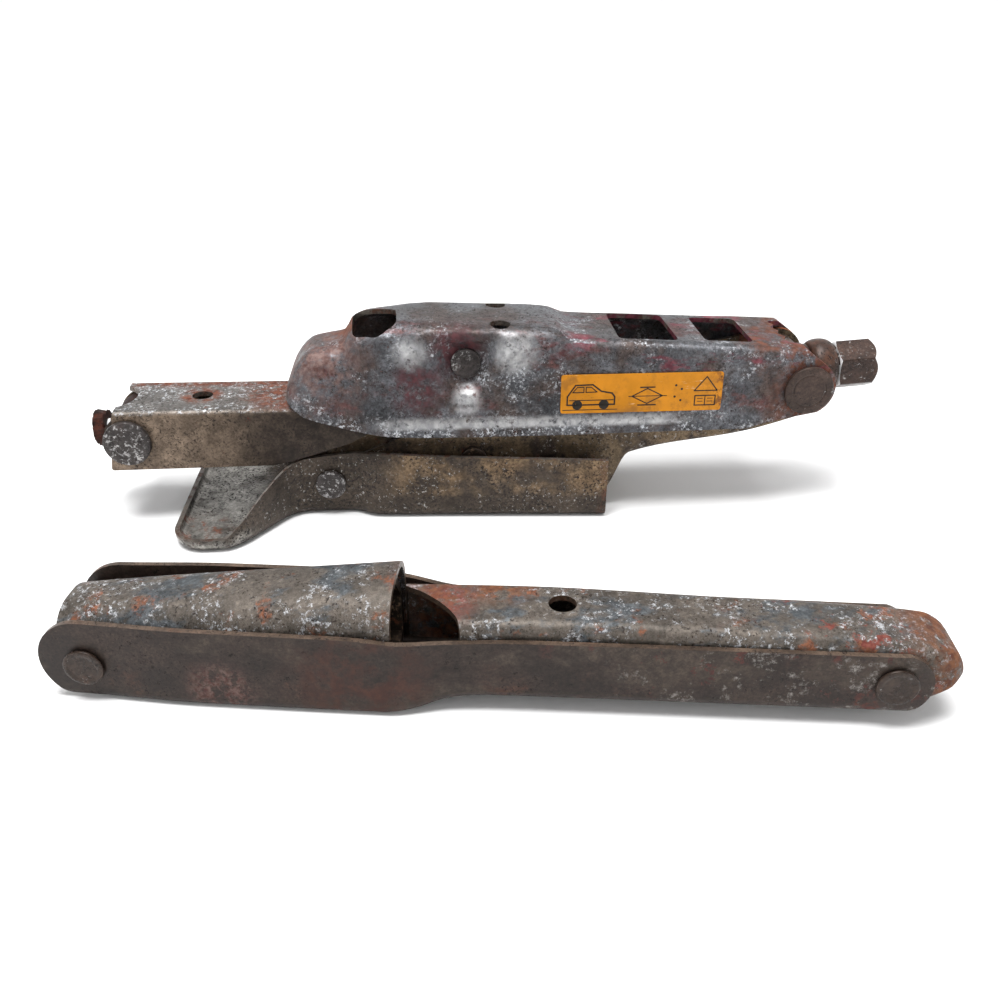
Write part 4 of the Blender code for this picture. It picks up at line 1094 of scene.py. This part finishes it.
def build_label(sizes, looks):
    bm = bmesh.new()
    bmesh.ops.create_cube(bm, size=1.0)
    bmesh.ops.scale(bm, vec=LABEL_SIZE, verts=bm.verts)
    upright = [edge for edge in bm.edges if abs(edge.verts[0].co.y - edge.verts[1].co.y) > 0.1]
    bmesh.ops.bevel(bm, geom=upright, offset=1.2, segments=4, profile=0.5, affect="EDGES", material=-1)
    bm.transform(LABEL_FRAME)
    place_piece(new_object("label", bm, (looks["label"],)), "shell", "label_plate")

    bm = bmesh.new()
    body = [(-34, -5.2), (-34, -1.2), (-32.6, 1.0), (-30.4, 4.2), (-22.6, 4.4), (-18.6, 1.2), (-13.6, 0.2)]
    body += [(-12.4, -1.6), (-12.4, -5.2)]
    stroke(bm, body, 0.7, closed=True)
    stroke(bm, [(-31.6, 0.8), (-29.6, 3.2), (-26.6, 3.3), (-26.6, 0.8)], 0.45, closed=True)
    stroke(bm, [(-25.6, 0.8), (-25.6, 3.3), (-23.2, 3.2), (-20.6, 0.9)], 0.45, closed=True)
    stroke(bm, [(-33, -3.0), (-13, -3.0)], 0.4)
    for wheel in (-29.4, -17.2):
        disc(bm, wheel, -5.2, 2.3)
    stroke(bm, [(-36.0, -7.6), (-11.0, -7.6)], 0.35)
    stroke(bm, [(-4.5, -1.6), (2.5, 2.0), (9.5, -1.6), (2.5, -5.2)], 0.5, closed=True)
    stroke(bm, [(-6.0, -1.6), (11.5, -1.6)], 0.35)
    stroke(bm, [(-0.8, 2.6), (5.8, 2.6)], 0.6)
    stroke(bm, [(-1.6, -5.9), (6.6, -5.9)], 0.6)
    for x, z in ((15.5, 3.2), (18.2, 1.4), (15.2, -2.2), (18.0, -4.0)):
        disc(bm, x, z, 0.55)
    stroke(bm, [(24.0, 0.4), (29.4, 7.0), (34.6, 0.4)], 0.55, closed=True)
    stroke(bm, [(24.6, -6.6), (24.6, -2.0), (34.0, -2.0), (34.0, -6.6)], 0.55, closed=True)
    stroke(bm, [(29.3, -6.6), (29.3, -2.0)], 0.45)
    for level in (-3.4, -4.8):
        stroke(bm, [(25.8, level), (28.2, level)], 0.3)
        stroke(bm, [(30.4, level), (32.8, level)], 0.3)
    bm.transform(LABEL_FRAME)
    place_piece(new_object("label_print", bm, (looks["print"],)), "shell", None)


# Crank handle -----------------------------------------------------------------------------------------------

def build_crank(sizes, looks):
    sheet = sizes.sheet / MM
    half = flowing((-20, 19.0), (0, 19.6), (40, 21.8), (98, 22.1), (106, 22.1), (128, 18.0), (145, 17.0), (300, 15.3))
    web = flowing((-20, 0.0), (104, 0.0), (116, 1.4), (128, 4.6), (140, 5.6), (300, 5.6))
    xs = stations(-20, 90, 5) + stations(93, 150, 1.9) + stations(155, 300, 6)
    arm = pressed_channel(
        "crank_channel", xs, lambda x: channel_section(half(x), half(x), web(x), 50.0, 4.0),
        (looks["handle_wall"], looks["handle_edge"]), sheet,
    )
    outline = arc((0, 16.2), 16.6, 92, 268, 28) + eased([(104, -1), (128, 3.5), (141, 4.4)], 6)
    outline += arc((GRIP_PIN.x, GRIP_PIN.y - 0.4), 12.6, -90, 75, 24)
    outline += eased([(262, 30.2), (150, 30.2), (128, 29.4), (114, 30.2), (96, 32.4), (70, 32.6)], 9, steps=5)
    trim(
        arm, outline, 40.0,
        box((-25, 14), (-17.2, 17.2), (-5, 12)),
        box((248, 300), (-13.2, 13.2), (-5, 14)),
        hole(SOCKET_PIN, HANDLE_PIN_R + GAP),
        hole(GRIP_PIN, HANDLE_PIN_R + GAP),
    )
    place_piece(arm, "crank", "crank_arm", HANDLE_FRAME)


def build_links(sizes, looks):
    metals = (looks["handle_link"], looks["handle_edge"])
    sheet = sizes.sheet / MM
    half = flowing((-12, 16.2), (20, 17.0), (108, 18.6))
    web = flowing((-12, 31.6), (0, 33.2), (108, 45.0))
    link = pressed_channel(
        "socket_channel", stations(-12, 108, 4),
        lambda x: channel_section(half(x), half(x), web(x), 4.0, 13.5, 6, 12, 3), metals, sheet,
    )
    outline = arc((0, 16), 13.0, 180, 240, 12) + [(30, 6.0), (108, 12.5), (108, 50), (-11, 50), (-11, 27)]
    trim(link, outline, 30.0, hole(SOCKET_PIN, HANDLE_PIN_R + GAP))
    place_piece(link, "socket", "socket_link", HANDLE_FRAME)

    mouth = Matrix.Translation((107.0, 0.0, 27.4)) @ Matrix.Rotation(math.pi / 2 - math.radians(6), 4, "Y")
    outer = eased([(0, -24.0), (14.9, -24.0), (14.9, 0), (0, 0)], 0.8)
    wrench = turned("wrench", outer, mouth, (looks["screw"],), 64)
    bm = bmesh.new()
    corner_r = (HEX_ACROSS_FLATS + HEX_PLAY) / math.sqrt(3)
    bmesh.ops.create_cone(bm, cap_ends=True, segments=6, radius1=corner_r, radius2=corner_r, depth=60.0)
    bm.transform(mouth)
    cut(wrench, new_object("wrench_bore", bm))
    place_piece(wrench, "socket", "wrench_socket", HANDLE_FRAME, sharp=28)

    half = flowing((108, 14.3), (130, 14.0), (240, 12.9), (290, 12.9), (298, 12.0), (303, 8.0), (305, 5.0))
    web = flowing((108, 34.0), (166, 35.6), (215, 34.8), (270, 33.6), (292, 32.0), (299, 28.5), (305, 20.0))
    bend = flowing((108, 5.0), (290, 5.0), (300, 3.5))
    xs = stations(108, 275, 4) + stations(277, 305, 1.4)
    grip = pressed_channel(
        "grip_channel", xs, lambda x: channel_section(half(x), half(x), web(x), 4.0, bend(x)), metals, sheet
    )
    outline = [(109.5, 60), (109.5, 9.5), (262, 9.0)] + arc(GRIP_PIN, 12.0, -95, -50, 10) + [(305.5, 19.0), (305.5, 60)]
    slant = [(100, 9.5)] + eased([(109.4, 9.5), (116, 6.0), (124, -1.0), (130, -9.0), (133, -20.0)], 5) + [(100, -20.0)]
    trim(
        grip, outline, 30.0,
        prism(slant, 40.0, GROUND, centre=30.0),
        upright_drill(166.0, 0.0, (20, 50), 5.0),
        hole(GRIP_PIN, HANDLE_PIN_R + GAP),
    )
    place_piece(grip, "grip", "grip_link", HANDLE_FRAME)


# Stage ------------------------------------------------------------------------------------------------------

def area_light(name, place, aim, side, power):
    lamp = bpy.data.lights.new(name, "AREA")
    lamp.shape = "SQUARE"
    lamp.size = side
    lamp.energy = power
    made = bpy.data.objects.new(name, lamp)
    made.location = place
    made.rotation_euler = (Vector(aim) - Vector(place)).to_track_quat("-Z", "Y").to_euler()
    bpy.context.scene.collection.objects.link(made)


KEY_SHARE = 0.12  # power of the small key light as a share of the overhead one


def build_stage(stage):
    sweep = [(0.0, 0.0)] + arc((1500.0, 900.0), 900.0, -90, 0, 24) + [(2400.0, 4000.0)]
    bm = turned_mesh(sweep, Matrix.Scale(MM, 4), 96)
    bmesh.ops.reverse_faces(bm, faces=bm.faces)
    floor = new_object("floor", bm)
    floor.data.shade_smooth()
    paper = bpy.data.materials.new("pale_paper")
    paper.use_nodes = True
    shader = paper.node_tree.nodes["Principled BSDF"]
    shader.inputs["Base Color"].default_value = (*stage.floor_colour, 1.0)
    shader.inputs["Roughness"].default_value = 0.9
    shader.inputs["Specular IOR Level"].default_value = 0.1
    floor.data.materials.append(paper)

    world = bpy.data.worlds.new("soft_room")
    world.use_nodes = True
    world.node_tree.nodes["Background"].inputs["Color"].default_value = (0.97, 0.98, 1.0, 1.0)
    world.node_tree.nodes["Background"].inputs["Strength"].default_value = stage.ambient
    bpy.context.scene.world = world
    area_light("overhead", (0.1, -0.1, 2.2), (0.06, 0.0, 0.0), 1.3, stage.key_power)
    area_light("key", (-0.2, -0.3, 1.1), (0.06, 0.0, 0.04), 0.3, stage.key_power * KEY_SHARE)

    lens = bpy.data.cameras.new("camera")
    lens.sensor_width = 36.0
    lens.lens = stage.lens
    lens.clip_start = 0.01
    camera = bpy.data.objects.new("camera", lens)
    pitch, yaw, roll = stage.pitch, stage.yaw, stage.roll
    forward = Vector((math.sin(yaw) * math.cos(pitch), math.cos(yaw) * math.cos(pitch), -math.sin(pitch)))
    right = Vector((math.cos(yaw), -math.sin(yaw), 0.0))
    up = right.cross(forward)
    right, up = (
        right * math.cos(roll) + up * math.sin(roll),
        up * math.cos(roll) - right * math.sin(roll),
    )
    turn = Matrix((right, up, -forward)).transposed().to_4x4()
    camera.matrix_world = Matrix.Translation(stage.camera_place) @ turn
    bpy.context.scene.collection.objects.link(camera)
    bpy.context.scene.camera = camera
    bpy.context.scene.view_settings.view_transform = "Standard"


# Add-on -----------------------------------------------------------------------------------------------------

class JackSizes(bpy.types.PropertyGroup):
    sheet: FloatProperty(
        name="Sheet thickness", description="Thickness of the pressed steel", default=0.0022, unit="LENGTH"
    )
    thread_pitch: FloatProperty(
        name="Thread pitch", description="Distance between the turns of the lifting screw", default=0.003, unit="LENGTH"
    )


class JackColours(bpy.types.PropertyGroup):
    plate: colour_setting("Plating", "47484b", "Clean plating of the long upper arm")
    beige: colour_setting("Lower arms", "554838", "Drab plating of the lower arms")
    foot: colour_setting("Foot", "342d27", "Bare surface of the foot")
    handle: colour_setting("Crank arm", "221a16", "Brown surface of the crank arm")
    links: colour_setting("Links", "4a443e", "Bare surface of the socket and grip links")
    rust: colour_setting("Rust", "6f4332", "Brightest rust")
    label: colour_setting("Label", "b8760e", "Ground of the label")


class JackStage(bpy.types.PropertyGroup):
    floor_colour: FloatVectorProperty(
        name="Floor", description="Colour of the paper under the jack", default=(0.92, 0.92, 0.92), subtype="COLOR"
    )
    ambient: FloatProperty(name="Ambient", description="Strength of the soft room light", default=0.25)
    key_power: FloatProperty(
        name="Overhead power", description="Power of the overhead light", default=52.0, unit="POWER"
    )
    lens: FloatProperty(name="Lens", description="Focal length of the camera in millimetres", default=34.1)
    pitch: FloatProperty(name="Pitch", description="How far the camera looks down", default=0.50619, subtype="ANGLE")
    yaw: FloatProperty(name="Yaw", description="How far the camera is turned right", default=0.07984, subtype="ANGLE")
    roll: FloatProperty(name="Roll", description="Tilt of the camera about its view", default=0.00592, subtype="ANGLE")
    camera_place: FloatVectorProperty(
        name="Camera", description="Where the camera stands", default=(0.04798, -0.41807, 0.22708), subtype="XYZ",
        unit="LENGTH",
    )


class BuildStep:
    """What every building operator shares: it hands the sizes and the finishes to its makers."""

    bl_options = {"REGISTER", "UNDO"}
    makers = ()

    def execute(self, context):
        looks = finishes(context.scene.jack_colours)
        for make in self.makers:
            make(context.scene.jack_sizes, looks)
        return {"FINISHED"}


class JACK_OT_foot(BuildStep, bpy.types.Operator):
    """Build the pressed foot"""

    bl_idname = "jack.foot"
    bl_label = "Foot"
    makers = (build_foot,)


class JACK_OT_arms(BuildStep, bpy.types.Operator):
    """Build the two lower arms and the short upper arm"""

    bl_idname = "jack.arms"
    bl_label = "Arms"
    makers = (build_lower_arms, build_upper_short_arm)


class JACK_OT_shell(BuildStep, bpy.types.Operator):
    """Build the deep pressed lifting shell"""

    bl_idname = "jack.shell"
    bl_label = "Lifting shell"
    makers = (build_shell,)


class JACK_OT_pins(BuildStep, bpy.types.Operator):
    """Build the rivets of the jack and of the handle"""

    bl_idname = "jack.pins"
    bl_label = "Pins"
    makers = (build_pins,)


class JACK_OT_trunnions(BuildStep, bpy.types.Operator):
    """Build the nut, the thrust block, their caps and the washer"""

    bl_idname = "jack.trunnions"
    bl_label = "Trunnions"
    makers = (build_trunnions,)


class JACK_OT_screw(BuildStep, bpy.types.Operator):
    """Build the threaded screw with its end stop, collar and hexagon"""

    bl_idname = "jack.screw"
    bl_label = "Screw"
    makers = (build_screw,)


class JACK_OT_label(BuildStep, bpy.types.Operator):
    """Build the foil label and its plain pictograms"""

    bl_idname = "jack.label"
    bl_label = "Label"
    makers = (build_label,)


class JACK_OT_handle(BuildStep, bpy.types.Operator):
    """Build the three links of the folding crank handle"""

    bl_idname = "jack.handle"
    bl_label = "Crank handle"
    makers = (build_crank, build_links)


class JACK_OT_stage(bpy.types.Operator):
    """Build the floor, the lights and the camera"""

    bl_idname = "jack.stage"
    bl_label = "Stage"
    bl_options = {"REGISTER", "UNDO"}

    def execute(self, context):
        build_stage(context.scene.jack_stage)
        return {"FINISHED"}


class JACK_PT_panel(bpy.types.Panel):
    """Lists the steps that build the jack"""

    bl_idname = "JACK_PT_panel"
    bl_label = "Scissor Jack"
    bl_space_type = "VIEW_3D"
    bl_region_type = "UI"
    bl_category = "Scissor Jack"

    def draw(self, context):
        for step in STEPS:
            self.layout.operator(step.bl_idname)
        for settings in (context.scene.jack_sizes, context.scene.jack_colours, context.scene.jack_stage):
            for name in settings.__annotations__:
                self.layout.prop(settings, name)


STEPS = (
    JACK_OT_foot, JACK_OT_arms, JACK_OT_shell, JACK_OT_pins, JACK_OT_trunnions, JACK_OT_screw, JACK_OT_label,
    JACK_OT_handle, JACK_OT_stage,
)
GROUPS = (("jack_sizes", JackSizes), ("jack_colours", JackColours), ("jack_stage", JackStage))


def register():
    for name, group in GROUPS:
        bpy.utils.register_class(group)
        setattr(bpy.types.Scene, name, PointerProperty(type=group))
    for step in STEPS:
        bpy.utils.register_class(step)
    bpy.utils.register_class(JACK_PT_panel)


def unregister():
    bpy.utils.unregister_class(JACK_PT_panel)
    for step in reversed(STEPS):
        bpy.utils.unregister_class(step)
    for name, group in reversed(GROUPS):
        delattr(bpy.types.Scene, name)
        bpy.utils.unregister_class(group)


def main():
    register()
    for step in STEPS:
        family, action = step.bl_idname.split(".")
        getattr(getattr(bpy.ops, family), action)()


if __name__ == "__main__":
    main()
